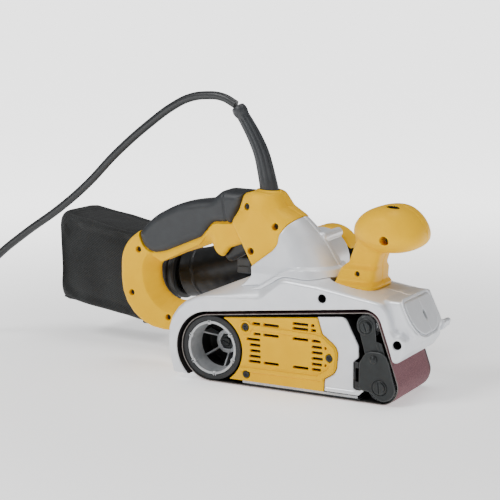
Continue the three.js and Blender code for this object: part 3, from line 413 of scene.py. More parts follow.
# ---- Cord, with its coil on the floor, its plug and its tie
CORD_RADIUS = 4.0
FREE_RUN = [
    (-84, 0, 257.6), (-98, 0, 264), (-115, 0, 265.2), (-134, 0, 262.2), (-152, 0, 254), (-176, 0, 238.2),
    (-217, 0, 206), (-253, 0, 172.4), (-287, 0, 146), (-331, 0, 117), (-366, -0.5, 91), (-398, -1.5, 60),
    (-424, -2.4, 32), (-447, -3.4, 13), (-468, -4.4, 5.6),
]
COIL_AT = (-490, -61)


def cord_line():
    """The free run, then two layers of turns on the floor, then a short tail to the plug."""
    turns = [(90 + 15 * k, 56 - 8.2 * k / 24, 4.4) for k in range(73)]
    turns += [(1170 + 15 * k, 31.4, 4.4 + 8.3 * (3 * (k / 12) ** 2 - 2 * (k / 12) ** 3)) for k in range(1, 12)]
    turns += [(1350 + 15 * k, 31.4 + 8.2 * k / 24, 12.7) for k in range(73)]
    coil = []
    for degrees, reach, z in turns:
        t = math.radians(degrees)
        coil.append((COIL_AT[0] + reach * math.cos(t), COIL_AT[1] + reach * math.sin(t), z))
    return FREE_RUN + coil + [(-474, -114.6, 12.7), (-455, -108, 12.7), (-438, -101.6, 12.6), (-426, -100, 12.5)]


def make_cord():
    line = cord_line()
    data = bpy.data.curves.new("mains_cord", "CURVE")
    data.dimensions = "3D"
    data.bevel_depth = CORD_RADIUS * MM
    data.bevel_resolution = 6
    data.resolution_u = 6
    data.use_fill_caps = True
    spline = data.splines.new("BEZIER")
    spline.bezier_points.add(len(line) - 1)
    for point, place in zip(spline.bezier_points, line):
        point.co = Vector(place) * MM
        point.handle_left_type = point.handle_right_type = "AUTO"
    return link("mains_cord", data, "machine", CORD_RUBBER, ["cord_tube", "cord_coil"])


def curve_length(obj):
    evaluated = obj.evaluated_get(bpy.context.evaluated_depsgraph_get())
    data = evaluated.data.copy()
    data.bevel_depth = 0
    made = bpy.data.objects.new("measure", data)
    mesh = made.to_mesh()
    total = sum((mesh.vertices[a].co - mesh.vertices[b].co).length for a, b in (e.vertices for e in mesh.edges))
    made.to_mesh_clear()
    bpy.data.objects.remove(made)
    return total


mains_cord = make_cord()


def make_plug():
    """A moulded plug with a ribbed neck, a waisted grip and two flat pins."""
    x, y, z = -425, -100, 12.5
    b = Block((x - 4, y - 15, z - 14), (x + 70, y + 15, z + 14), 0.5)
    long_x = b.x - x
    neck = b.bar((x - 1, y, z), (x + 20, y, z), 4.9, 7.2)
    ribs = np.maximum(neck - 0.2, np.abs((long_x + 1) % 4.2 - 2.1) - 1.2) - 0.2
    half_wide = 9 + 3 * np.clip((long_x - 20) / 8, 0, 1) - 1.6 * np.exp(-(((long_x - 36) / 5.5) ** 2))
    half_high = 7.2 + 1.8 * np.clip((long_x - 20) / 8, 0, 1)
    k = np.sqrt(((b.y - y) / half_wide) ** 2 + ((b.z - z) / half_high) ** 2)
    body = meet((k - 1) * 8, np.abs(long_x - 33) - 15, 3)
    body = cut(body, np.abs(np.abs(b.z - z) - 8.6) - 0.5, 0.6)
    shape = join(join(neck, ribs, 0.8), body, 2)
    for side in (-6, 6):
        shape = join(shape, b.box((x + 44, x + 66), (y + side - 0.9, y + side + 0.9), (z - 3, z + 3), 0.6), 0.4)
    mesh = b.mesh("plug", shape)
    obj = link("plug", mesh, "machine", CORD_RUBBER, ["cord_plug"])
    mesh.materials.append(STEEL)
    for face in mesh.polygons:
        face.material_index = int(face.center.x > (x + 48.2) * MM)
    return obj


def make_tie():
    """A hook-and-loop strap closed round the bundle of turns."""
    turn = math.radians(-62)
    out = np.array([math.cos(turn), math.sin(turn), 0])
    along = np.array([-math.sin(turn), math.cos(turn), 0])
    middle = np.array([*COIL_AT, 8.5]) + 43.7 * out
    points, faces, sides = [], [], 48
    for reach, width in ((0, -6.5), (0, 6.5), (0.9, 6.5), (0.9, -6.5)):
        for k in range(sides):
            t = 2 * math.pi * k / sides
            c, s = math.cos(t), math.sin(t)
            wide = (17.0 + reach) * math.copysign(abs(c) ** 0.45, c)
            high = (8.1 + min(reach, 0.2)) * math.copysign(abs(s) ** 0.45, s) + (0.3 * reach if s > 0 else 0)
            points.append(middle + out * wide + along * width + np.array([0, 0, high]))
    for ring in range(4):
        for k in range(sides):
            n = (k + 1) % sides
            a, b = ring * sides, (ring + 1) % 4 * sides
            faces.append([a + k, a + n, b + n, b + k])
    return link("cord_tie", mesh_of("cord_tie", points, faces), "machine", BLACK)


plug = make_plug()
cord_tie = make_tie()


# ---- Shared outlines, in millimetres
DRUM = (-90.0, 32.2, 32.2)
LOWER_ROLLER = (83.0, 16.6, 16.6)
UPPER_ROLLER = (68.0, 69.5, 13.0)
LOOP = [LOWER_ROLLER, UPPER_ROLLER, DRUM]
MOTOR = (-12.0, 114.0)
GEAR_PULLEY = (-63.618, 50.836)
OPEN_FACE, WALL_FACE = -42.0, 44.0
SHOULDER = [
    (-109.6, 4.5), (97.5, 42, 2), (96.5, 60, 10), (87.5, 91.5, 14), (20, 101.6, 60), (-15, 104.6, 14),
    (-36, 86.6, 12), (-136.5, 79.5, 44), (-134.5, 26, 12), (-130, 5, 3),
]
CROWN = [
    (-109.6, 4.5), (97.5, 42, 2), (97.5, 62, 10), (87.5, 95, 8), (20, 107.5, 60), (-15, 109.5, 14), (-60, 100, 12),
    (-137.5, 67, 26), (-135, 26, 8), (-130, 5, 3),
]
NOSE_BLOCK = [(84, 94.6), (99.2, 94.2, 2.5), (114.6, 62, 6), (104, 54, 4), (88, 60)]
NOSE_PANEL = [(-31.5, 63.4, 19), (26.5, 63.4, 19), (26.5, 92.6, 4), (-31.5, 92.6, 4)]  # Y and Z
NOSE_BAR = [(93.5, 66), (101, 66.5, 5), (107.4, 61.5, 5), (107.2, 50.5, 8), (99.4, 39.6, 4), (94, 42)]
TOWER_REGION = [
    (-12.5, 158), (-19.2, 151.5, 4), (-24.5, 143, 5), (-25.6, 134.5, 5), (-30, 128.5, 3), (-51.3, 112.3, 2),
    (-50, 104.5, 5), (-56, 98, 8), (-69, 87), (-69, 70), (60, 70), (60, 158),
]
HANDLE = [
    (-112, 37.5), (-112, 66.5), (-167, 67, 25), (-166.6, 101.4, 7), (-105, 126, 5), (-98, 117.4, 5),
    (-92.4, 113.6, 4), (-84, 124), (-60, 133), (-60, 150), (-60, 177), (-92, 176.8, 9), (-103, 167.6, 15),
    (-150, 156, 42), (-205, 118, 36), (-205.2, 37.5, 47),
]
HAND_HOLE = [
    (-100, 60), (-112, 66.5), (-167, 67, 25), (-166.6, 101.4, 7), (-105, 126, 5), (-97.5, 115.8, 5), (-92, 108),
    (-60, 100), (-60, 60),
]
HEAD = [
    (-52, 108, 6), (-20, 108), (0, 152), (-28.4, 165.4), (-36, 177.8, 6), (-56, 180.2, 8), (-66, 176.5, 7),
    (-75.3, 151, 8),
]
GRIP = [
    (-66.5, 178), (-71, 163.5, 10), (-80.5, 147.6, 4.5), (-101, 146.8, 10), (-114, 131.5, 8), (-153, 115, 14),
    (-176, 109.4, 17), (-184.4, 131, 6), (-168, 148.4, 60), (-138, 164.2, 90), (-103, 169.4, 15), (-92, 178.4, 9),
]
GRIP_CORE = [
    (-60, 173), (-76, 150), (-84, 140), (-104, 140), (-118, 124), (-160, 104), (-176, 112), (-180, 128, 4),
    (-150, 152, 38), (-103, 163, 12), (-90, 173),
]
TRIGGER = [(-94.6, 115, 3.2), (-88.4, 108.6, 4.4), (-70, 118.6, 3), (-61, 127), (-65, 137), (-78, 137), (-86, 125.6, 3)]
HEAD_SCREWS = [(-59.8, 166.2), (-29.4, 149.8), (-54.4, 125.3)]
HANDLE_SCREWS = [(-184.4, 114.6), (-192.6, 71.3), (-151.4, 50.5)]
LOCK_AT, DIAL_AT = (-73, 140), (-46, 150)
TRIGGER_HINGE, TRIGGER_PULL = (-66, 131), 8
FLANGE = (44.5, 23.5, 26.5)  # of the knob: middle x, half length, half width


SIDES = ((-1, "right"), (1, "left"))
SHELL_HOLES = ((26.1, 91.5), (99.2, 56.9))
BELT_ROOM, WALL_START = 3.3, 39.5
MOTOR_BORE, COVER_BORE = 22.6, 28.8


def ramp_up(v, start, end):
    """0 before start, 1 after end, eased between."""
    t = np.clip((v - start) / (end - start), 0, 1)
    return t * t * (3 - 2 * t)


def parted(name, b, paint):
    """Two halves that meet at y = 0 with a fine gap between rounded lips."""
    made = []
    for side, word in SIDES:
        half = meet(b.body, 0.15 - side * b.y, 0.5)
        node = f"{name}_{word}"
        made.append(link(f"{node}_piece", b.mesh(node, half), "machine", paint, [node]))
    return made


def single(name, b, body, paint, shape=None):
    """The block's shape, or another on its lattice, in place of the CAD node of that name."""
    mesh = b.mesh(name, b.body if shape is None else shape)
    return link(f"{name}_piece", mesh, body, paint, [name])


def level_oval(b, x, a, w, power=3.2):
    """A squared-off oval seen from above; x, a and w may change with height."""
    k = (np.abs((b.x - x) / a) ** power + np.abs(b.y / w) ** power) ** (1 / power)
    return (k - 1) * np.minimum(a, w)


def paint_shade(obj, paint, test):
    """Lay painted shade, in the given material, on the faces whose middles, in millimetres, pass the test."""
    mesh = obj.data
    middle = np.empty(3 * len(mesh.polygons))
    mesh.polygons.foreach_get("center", middle)
    x, y, z = middle.reshape(-1, 3).T / MM
    mesh.materials.append(paint)
    which = np.empty(len(mesh.polygons), dtype=np.int32)
    mesh.polygons.foreach_get("material_index", which)
    mesh.polygons.foreach_set("material_index", np.where(test(x, y, z), len(mesh.materials) - 1, which))


def tower_skin(b, grow=0.0):
    """The half-round front of the tower and head, leaning back as it rises."""
    heights = [84, 100, 107, 113.5, 126, 134, 141.4, 149.8, 157, 165.4, 177.8, 185]
    front = np.interp(b.z, heights, [36, 30, 26.6, 23.4, 15.6, 10.4, 4.1, -4.3, -12.2, -25, -34, -38]) + grow
    half = np.interp(b.z, heights, [34, 33.6, 33, 31.8, 30, 29, 28, 27, 26, 25.6, 24.6, 24]) + grow
    if grow == 0:
        along = [-64, -61.8, -40.3, -30, -19.1, -11.2, 4.2, 40]
        crease = np.interp(b.x, along, [89, 90, 97, 103.5, 111, 114.4, 115.6, 114.5])
        plinth = ramp_up(crease - b.z, 0, 1.8)
        front, half = front + 3.8 * plinth, half + 3.4 * plinth
    ahead = np.maximum(b.x - (front - 30), 0)
    k0 = np.sqrt((ahead / 30) ** 2 + (b.y / half) ** 2)
    k1 = np.sqrt((ahead / 900) ** 2 + (b.y / half**2) ** 2)
    return k0 * (k0 - 1) / np.maximum(k1, 1e-6) * 0.92


# ---- Silver housing
def housing_outer(b):
    """The solid outside of the housing: square shoulders at the faces, a crown between, the nose and its bar."""
    shoulder, crown = b.outline(SHOULDER), b.outline(CROWN)
    rise = np.clip(np.minimum((b.y - OPEN_FACE) / 20, (WALL_FACE - b.y) / 22), 0, 1)
    rise = 0.55 * rise + 0.45 * (1 - (1 - rise) ** 2)
    body = b.plate(shoulder * (1 - rise) + crown * rise, OPEN_FACE, WALL_FACE, 2.6)
    front = meet(b.prism(NOSE_BLOCK, -36, 36, 4), rounded_shield(b, 35.5, 53, 22), 3)
    ditch = polygon(b.y, b.z, rounded(NOSE_PANEL)) - 0.7
    front = front + 1.8 * np.exp(-((ditch / 0.9) ** 2)) * ramp_up(b.x, 95, 98)
    body = join(body, front, 4)
    return join(body, b.prism(NOSE_BAR, OPEN_FACE, WALL_FACE, 3.2), 5)


def rounded_shield(b, half, bottom, corner):
    """Straight sides, open at the top, with round bottom corners."""
    side, down = np.abs(b.y) - half + corner, bottom + corner - b.z
    return np.minimum(np.maximum(side, down), 0) + np.hypot(np.maximum(side, 0), np.maximum(down, 0)) - corner


def drain_hole(y, z):
    """The distance to the oval hole in the nose."""
    return (np.hypot(y / 2.8, (z - 77) / 5.2) - 1) * 2.8


def make_housing():
    b = Block((-141, -44, 1), (118, 47, 114), 0.9)
    b.body = housing_outer(b)
    b.cut(b.prism(band(LOOP, BELT_ROOM), OPEN_FACE - 9, WALL_START), 0.9)
    b.join(meet(b.prism(band(LOOP, -1.5), WALL_START, WALL_FACE, 0.6), 3.5 - b.z, 0.4))
    b.cut(b.prism([(86, 88), (97, 88), (109, 64), (98, 60), (88, 66)], -30, 30, 2))
    x, a, w = FLANGE
    b.cut(meet(level_oval(b, x, a + 0.4, w + 0.4), 98.2 - b.z), 0.4)
    b.bore(SHELL_HOLES, 4, OPEN_FACE - 5, OPEN_FACE + 12, 0.5)
    for at, r in ((DRUM, 11.3), (GEAR_PULLEY, 4.3), ((38, 62), 3.4)):
        b.cut(b.rod(at, r, 36, 46), 0.3)
    b.cut(b.rod(MOTOR, MOTOR_BORE, -18, 39.7))
    b.cut(b.rod(MOTOR, COVER_BORE, 39.6, 60))
    b.cut(np.maximum(drain_hole(b.y, b.z), 99 - b.x), 0.3)
    inside = band(LOOP, BELT_ROOM)
    for half in parted("housing", b, SILVER):
        # Painted shade: the insides of the shell holes, of the belt opening and of the drain hole take the near-black,
        # for the shadow in them.
        for at in SHELL_HOLES:
            paint_shade(half, SHADE, lambda x, y, z: (apart(x, z, at) < 4.4) & (y > -41) & (y < -25))
        paint_shade(half, SHADE, lambda x, y, z: (polygon(x, z, inside) < 0.3) & (y > -41.2) & (y < 43))
        paint_shade(half, SHADE, lambda x, y, z: (np.hypot(y / 3.4, (z - 77) / 6) < 1) & (x > 90) & (x < 106))


def make_nose_panel():
    """The D-shaped panel on the nose inside its bezel, standing just off the slanted face."""
    b = Block((94, -36, 56), (119, 36, 98), 0.45)
    above = (b.x - 99.2) * 0.902 + (b.z - 94.2) * 0.431
    flat = polygon(b.y, b.z, rounded(NOSE_PANEL))
    panel = meet(flat, np.abs(above) - 1.3, 0.7)
    bezel = meet(np.abs(flat - 2.4) - 1.2, np.abs(above) - 0.8, 0.5)
    b.body = join(panel, bezel)
    b.cut(drain_hole(b.y, b.z), 0.4)
    for side, word in SIDES:
        half = meet(b.body, 0.2 - side * b.y, 0.4)
        link(f"nose_panel_{word}", b.mesh(f"nose_panel_{word}", half), "machine", SILVER)


# ---- Silver tower
def make_tower():
    b = Block((-66, -39, 82), (42, 42, 164), 0.75)
    b.body = tower_skin(b)
    b.meet(b.z - 157.6, 3.2)
    b.body = b.body - 0.8 * ramp_up(b.y, 0.2, 0.9) * ramp_up(-b.y, -6.6, -5.6)
    b.meet(b.outline(TOWER_REGION), 0.8)
    b.join(b.rod(MOTOR, 28.5, 0, 39.5, 1.5), 1.0)
    boss = b.bar((4.5, 4, 138.8), (4.5, 45, 138.8), 5.0, 4.5)
    b.join(meet(boss, b.y - 39.2, 1.0), 1.2)
    b.cut(housing_outer(b) - 0.35, 0.4)
    b.cut(b.rod(MOTOR, MOTOR_BORE, -18, 39.7))
    parted("tower", b, SILVER)


# ---- Yellow handle and head, the rubber grip
def make_handle():
    b = Block((-208, -30, 35), (2, 30, 183), 0.8)
    near_hole = (1 - np.clip(b.outline(HAND_HOLE) / 13.5, 0, 1)) ** 1.1
    half = 15 - (10.5 * ramp_up(-b.x, 96, 112) + 3 * ramp_up(122 - b.z, 0, 8)) * near_hole
    b.body = meet(b.outline(HANDLE), np.abs(b.y) - half, 3.4)
    top = b.outline(HEAD)
    bevel = 7.5 * (1 - np.clip(-top / 15, 0, 1)) * ramp_up(b.z, 150, 164)
    b.join(meet(meet(top, np.abs(b.y) - 27 + bevel, 3.6), tower_skin(b, 0.8), 2.5), 4)
    collar = meet(b.bar((-48.2, 0, 160), (-49.4, 0, 184.5), 12.6, 11.4), b.z - 180.6, 1.6)
    b.join(collar, 3)
    grip = b.plate(b.outline(GRIP) - 0.25, -40, 40)
    b.cut(grip, 0.6)
    b.join(b.prism(GRIP_CORE, -12, 12, 1))
    b.cut(b.outline(TOWER_REGION) - 0.3, 0.8)
    b.cut(housing_outer(b) - 0.4, 0.6)
    sweep = b.plate(b.outline(TRIGGER) - 0.7, -8.7, 8.7)
    turned = b.outline([pulled(p) for p in TRIGGER]) - 0.7
    b.cut(join(sweep, b.plate(turned, -8.7, 8.7)), 0.6)
    b.cut(b.rod(MOTOR, COVER_BORE, -1, 60), 0.4)
    b.cut(b.box((-84, -40), (-11, 11), (134, 165)))
    b.cut(b.bar((-48.6, 0, 190), (-47, 0, 158), 9.4), 0.5)
    b.bore(HEAD_SCREWS, 3.3, -30, -18.5, 0.7)
    for ends in ((-20, -8.5), (8.5, 20)):
        b.bore(HANDLE_SCREWS, 3.0, *ends, 0.7)
    b.bore([LOCK_AT], 5.3, 8.6, 40, 0.6)
    b.bore([DIAL_AT], 9.4, 23, 40, 0.6)
    parted("handle", b, YELLOW)
    heads = [(x, -20.6, z) for x, z in HEAD_SCREWS] + [(x, -10.4, z) for x, z in HANDLE_SCREWS]
    make_screws("handle_screws", heads, 2.7)


def pulled(p):
    """A trigger corner after the trigger's full pull."""
    t, x, z = math.radians(TRIGGER_PULL), p[0] - TRIGGER_HINGE[0], p[1] - TRIGGER_HINGE[1]
    turned_x, turned_z = x * math.cos(t) + z * math.sin(t), -x * math.sin(t) + z * math.cos(t)
    return (TRIGGER_HINGE[0] + turned_x, TRIGGER_HINGE[1] + turned_z, *p[2:])


def make_screws(name, heads, r, nodes=()):
    """Small round heads with a cross recess, facing -Y."""
    points, faces = [], []
    b = Block((-r - 0.6, -1.6, -r - 0.6), (r + 0.6, 3.2, r + 0.6), 0.22)
    shape = b.rod((0, 0), r, -0.9, 2.4, 0.7)
    for wide, tall in ((0.62 * r, 0.26), (0.26, 0.62 * r)):
        shape = cut(shape, b.box((-wide, wide), (-3, 0.4), (-tall, tall), 0.1), 0.15)
    mesh = b.mesh(name, shape)
    one = np.array([v.co for v in mesh.vertices]) / MM
    quads = np.array([list(p.vertices) for p in mesh.polygons])
    bpy.data.meshes.remove(mesh)
    for i, (x, y, z) in enumerate(heads):
        t = 0.6 + 1.3 * i
        spin = np.array([[math.cos(t), 0, math.sin(t)], [0, 1, 0], [-math.sin(t), 0, math.cos(t)]])
        points.append(one @ spin.T + (x, y, z))
        faces.append(quads + i * len(one))
    mesh = mesh_of(name, np.concatenate(points), np.concatenate(faces))
    return link(name, mesh, "machine", DARK_STEEL, nodes)


def make_grip():
    b = Block((-190, -19, 104), (-62, 19, 182), 0.6)
    flat = b.outline(GRIP)
    crown = 1.6 * np.clip((b.z - 120) / 60, 0, 1) * (np.abs(b.y) / 17) ** 2
    b.body = b.plate(flat + crown, -17, 17, 7.5)
    crease = b.x + 89 - 0.147 * (167 - b.z)
    b.body = b.body + 0.8 * np.exp(-((crease / 1.1) ** 2))
    b.body = b.body - 0.5 * ramp_up(crease, 0, 2)
    b.cut(b.plate(b.outline(GRIP_CORE) - 0.3, -12.3, 12.3))
    single("grip", b, "machine", RUBBER)


def make_controls():
    b = Block((-96, -10, 107), (-59, 10, 139), 0.4)
    single("trigger", b, "trigger", BLACK, b.prism(TRIGGER, -8, 8, 5.0))
    b = Block((-79.5, 10, 133.5), (-66.5, 19, 146.5), 0.3)
    b.body = b.rod(LOCK_AT, 4.9, 11.4, 17.4, 1.3)
    b.cut(np.hypot(b.disc(LOCK_AT, 0), b.y - 24.6) - 8, 0.4)
    single("lock_button", b, "lock_button", BLACK)
    b = Block((-57, 22, 139), (-35, 31, 161), 0.35)
    b.body = b.plate(b.disc(DIAL_AT, 8.75) + 0.3 * np.cos(24 * b.around(DIAL_AT)), 23.4, 29.6, 0.7)
    b.cut(b.box((-46.7, -45.3), (29.0, 32), (151.5, 157.5), 0.3), 0.2)
    single("speed_dial", b, "speed_dial", BLACK)


# ---- Front knob
KNOB_SCREWS = {(79.7, -20.2, 146): (4.2, -17), (50.5, -16.6, 112.5): (2.4, -14)}  # with its hole's radius and floor
KNOB_PROFILE = [
    (42, 150), (43.6, 158), (51.4, 167), (64, 172.6), (77, 175), (88, 173.6), (98.6, 167), (106, 157.6),
    (109, 148.4), (107, 141.4), (98, 135.6), (85, 132), (70, 131.6), (56, 136), (44.6, 143.6),
]


def softened(points, rounds=2):
    """The outline with its corners cut again and again into a smooth line."""
    for _ in range(rounds):
        nxt = points[1:] + points[:1]
        points = [
            q
            for (ax, az), (bx, bz) in zip(points, nxt)
            for q in ((0.75 * ax + 0.25 * bx, 0.75 * az + 0.25 * bz), (0.25 * ax + 0.75 * bx, 0.25 * az + 0.75 * bz))
        ]
    return points


def lens_reach(x, y):
    """How far points are from the middle of the lens-shaped pocket in the knob's top."""
    return np.hypot(x - 80.5, np.abs(y + 11.5) + 3.2)


def make_knob():
    b = Block((19, -34, 97), (113, 34, 178), 0.7)
    v = np.abs(b.y) / 32
    high, low = np.clip(1 - v**2.8, 0.02, 1) ** 0.42, np.clip(1 - v**2.2, 0.02, 1) ** 0.5
    tall = np.where(b.z > 152, high, low)
    wide = np.clip(1 - v**2.4, 0.02, 1) ** 0.44
    head = polygon((b.x - 75.5) / wide + 75.5, (b.z - 152) / tall + 152, softened(KNOB_PROFILE))
    head = meet((head - 0.5) * np.minimum(wide, np.minimum(high, low)), np.abs(b.y) - 31, 3)
    z = [98.5, 102, 104, 105.6, 108, 116, 119.5, 121.5, 132, 142]
    x = np.interp(b.z, z, [44.5, 44.5, 45, 46, 47.2, 49.4, 51, 52.4, 56, 63])
    a = np.interp(b.z, z, [23.5, 23.4, 22, 20.2, 19.2, 17.6, 15.6, 14.4, 14.2, 17])
    w = np.interp(b.z, z, [26.5, 26.2, 24, 22, 20.8, 20.4, 16.6, 15.4, 15.2, 18])
    neck = meet(level_oval(b, x, a, w, 5.5), np.maximum(98.6 - b.z, b.z - 144), 1.2)
    b.body = join(neck, head, 3)
    x, a, w = FLANGE
    b.join(np.hypot(level_oval(b, x, a - 2.6, w - 2.6), b.z - 101.2) - 2.5, 1.6)
    for (x, _, z), (r, floor) in KNOB_SCREWS.items():
        b.cut(b.rod((x, z), r, -40, floor), 0.7)
    b.cut(np.maximum(lens_reach(b.x, b.y) - 7.2, 168.5 - b.z), 0.4)
    b.cut(level_oval(b, -7, np.interp(b.z, [84, 107, 126, 160], [44, 38, 24, 4]), 40), 0.6)
    # Painted shade: the floor and walls of the lens pocket take the near-black, for the shadow in it.
    for half in parted("knob", b, YELLOW):
        paint_shade(half, SHADE, lambda x, y, z: (lens_reach(x, y) < 7.3) & (z > 165))
    make_screws("knob_screws", list(KNOB_SCREWS), 2.4)


# ---- Frame inside the belt loop, its cover and screws
FRAME = [
    (-100, 5.2), (60.5, 5.2), (64, 10.8), (55.9, 10.8), (55.6, 35.7), (60.6, 40, 3), (60.2, 51, 8),
    (52.9, 64.5, 10), (47, 76, 7), (19, 73.2), (-100, 61),
]
COVER = [
    (-100, 5), (26.5, 5), (26.8, 17, 2), (38.6, 24, 12), (40.4, 46, 12), (24.4, 57.5, 6), (19.6, 72.7, 1),
    (-100, 60.6),
]
VENT_ROWS = [  # height, then where each slot starts and ends
    (24.5, (-50, -37.6), (-34.4, -18.8), (-4.2, 11.4), (15, 24)),
    (29.5, (-49.5, -37.6), (14.7, 25), (27.6, 29.4)),
    (34.8, (-48.6, -37.8), (14.7, 25.8)),
    (40.2, (-49, -37.8), (14.6, 25.6)),
    (45.4, (-52.2, -38.2), (14.6, 24.8), (27.4, 29.4)),
    (50.9, (-44.9, -37.5), (-34.9, -19), (-4.8, 11.2), (14.6, 24.2)),
    (60.5, (-46.2, -38.2), (-34.9, -18.9), (-4.8, 11), (13.8, 18.8)),
    (65, (-4.8, 11), (13.8, 17.2)),
]
COVER_SCREWS = {"vent_screw_upper": (-53.1, 56.5), "vent_screw_lower": (-52.5, 11.6), "vent_screw_front": (32.4, 36.8)}


def streak(b, line, half):
    """A band of that half width round a line of XZ points."""
    best = None
    for (ax, az), (bx, bz) in zip(line, line[1:]):
        ex, ez = bx - ax, bz - az
        t = np.clip(((b.x - ax) * ex + (b.z - az) * ez) / (ex * ex + ez * ez), 0, 1)
        d = np.hypot(b.x - ax - t * ex, b.z - az - t * ez)
        best = d if best is None else np.minimum(best, d)
    return best - half


def make_cover():
    b = Block((-78, -41, 3), (43, -32, 76), 0.45)
    flat = b.outline(COVER)
    flat = meet(flat, -b.disc(DRUM, 33.0), 1)
    b.body = b.plate(flat, -38.4, -34.7, 0.9)
    # Raised ribs: along the top, round the front lobe, and along the bottom.
    rib = streak(b, [(-46, 57.6), (20, 55.2), (27, 52.4)], 1.9)
    low = streak(b, [(-57.6, 16.4), (28, 17.3)], 1.9)
    lobe = meet(np.abs(flat + 3.4) - 2.4, meet(22 - b.x, np.abs(b.z - 36) - 20, 1), 1)
    ring = np.abs(b.disc((-53.1, 56.5), 5.2)) - 1.1
    raised = join(join(rib, low, 1.5), join(lobe, ring, 1.5), 2)
    b.join(meet(b.plate(raised, -40.1, -36, 0.9), flat + 0.8, 0.6), 0.9)
    for z, *spans in VENT_ROWS:
        for x0, x1 in spans:
            b.cut(b.box((x0, x1), (-45, -30), (z - 1.3, z + 1.3), 0.6), 0.3)
    b.bore(COVER_SCREWS.values(), 3.9, -45, -37.2, 0.4)
    b.bore(COVER_SCREWS.values(), 1.9, -45, -30)
    single("vent_cover", b, "machine", YELLOW)
    for name, (x, z) in COVER_SCREWS.items():
        make_screws(name + "_piece", [(x, -38.4, z)], 3.3, [name])


def make_frame():
    b = Block((-78, -38.5, 3), (69, 40.5, 78), 0.85)
    flat = b.outline(FRAME)
    b.body = b.plate(flat, -37, 39.2, 1.0)
    toe = b.prism([(50, 5.2), (60.5, 5.2), (66.4, 10.8), (50, 10.8)], -37, -35.5, 0.5)
    b.join(toe)
    line = streak(b, [(-74, 9.4), (56, 9.4)], 0.55)
    b.cut(meet(b.plate(line, -40, -36.3), 27.5 - b.x), 0.4)
    b.cut(b.plate(b.outline(COVER) - 0.45, -50, -34.4), 0.4)
    b.cut(b.rod(DRUM, 33.4, -60, 60), 0.6)
    b.cut(b.box((-50, 12), (-50, 10), (14, 56), 2))
    b.cut(b.bar((36, 0, 25), (60, 0, 25), 5))
    b.bore(COVER_SCREWS.values(), 1.9, -40, -28)
    frame_piece = single("inner_frame", b, "machine", SILVER)
    # Painted shade: the frame's faces behind its front plate take the near-black, for the deep shadow there.
    paint_shade(frame_piece, SHADE, lambda x, y, z: y > -35.6)


# ---- Drive drum
def make_drum():
    b = Block((-119.5, -38.5, 2.7), (-60.5, 38.5, 61.7), 0.6)
    x, z = b.x - DRUM[0], b.z - DRUM[1]
    r = b.disc(DRUM, 0)
    wall_in = np.interp(b.y, [-38, -33, -17, -15.5, 1, 8, 37], [23.1, 22.9, 21.8, 23.6, 23.6, 22.4, 23.6])
    rim = meet(meet(r - 25.6, wall_in - r, 0), b.slab(-37.2, 37), 0.5)
    b.body = join(rim, b.rod(DRUM, 24, 1, 8), 3)
    b.join(b.rod(DRUM, 11.6, -7.2, 30, 0.8), 2)
    for i in range(6):
        t = math.radians(36 - 60 * i)
        u, v = x * math.cos(t) + z * math.sin(t), -x * math.sin(t) + z * math.cos(t)
        top = np.interp(u, [10, 22, 24], [-5.5, -17.5, -30])
        spoke = meet(np.maximum(np.abs(u - 17.5) - 7.5, np.abs(v) - 0.85), top - b.y, 0.3)
        b.join(np.maximum(spoke, b.y - 3), 1.0)
        key = meet(np.maximum(np.abs(u - 24.4) - 2.2, np.abs(v) - 1.5), b.slab(-37.6, -33), 0.5)
        b.join(key, 0.4)
        b.cut(meet(np.maximum(np.abs(u - 25.6) - 1.4, np.abs(v) - 0.55), b.y + 35.4, 0.2), 0.2)
    hexagon = np.maximum(np.maximum(np.abs(z), np.abs(z * 0.5 + x * 0.866)), np.abs(z * 0.5 - x * 0.866)) - 7.0
    b.cut(meet(hexagon, b.y + 1.0), 0.4)
    b.cut(b.rod(DRUM, 7.1, -20, 40))
    hub = single("drum_hub", b, "drum", CAST)
    # Painted shade: the hollow behind the hub and the wall beyond the inner step take the near-black, for the shadow
    # inside the drum.
    paint_shade(hub, SHADE, lambda x, y, z: (y > -1.2) & (y < 20) & (apart(x, z, DRUM) < 23.8))
    paint_shade(hub, SHADE, lambda x, y, z: (y > -16.4) & (np.abs(apart(x, z, DRUM) - 23.65) < 0.75))

    b = Block((-122, -38, 0.6), (-58, 38, 64), 0.75)
    r = b.disc(DRUM, 0)
    tyre = meet(meet(r - 30.8, 25.8 - r), b.slab(-37, 37), 0.9)
    turn = b.around(DRUM)
    groove = np.abs((turn * 12 / (2 * math.pi) + b.y / 76) % 1 - 0.5) * (2 * math.pi * 30.8 / 12) - 0.8
    tyre = cut(tyre, meet(np.maximum(groove, 29.6 - r), np.abs(b.y) - 33), 0.3)
    single("drum_tyre", b, "drum", TYRE, tyre)

    b = Block((-98, -11.5, 24), (-82, 57.5, 40.5), 0.45)
    shaft = join(b.rod(DRUM, 6.8, -7.5, 31, 0.5), b.rod(DRUM, 5.95, 20, 56.2, 0.5))
    head = b.rod(DRUM, 4.0, -9.6, -6, 0.7)
    t = 0.35
    u = (b.x - DRUM[0]) * math.sin(t) + (b.z - DRUM[1]) * math.cos(t)
    head = cut(head, np.maximum(np.abs(u) - 0.6, b.y + 8.6), 0.2)
    single("drum_shaft", b, "drum", DARK_STEEL, join(shaft, head, 0.5))


# ---- Front rollers, their arm and carrier
YOKE = [
    (62.6, 12.6), (73.4, 11.4), (84, 3.2, 11), (100.4, 8.4, 11), (88.6, 48.6, 10), (70, 48.6, 9), (62.9, 37.2),
]
ARM = [(59.6, 72, 7), (63.5, 80.5, 7), (76.4, 79, 7), (78.4, 57.6), (83.4, 56), (87.6, 43), (82, 34), (70, 36)]
PIVOT = (76.8, 41.5)


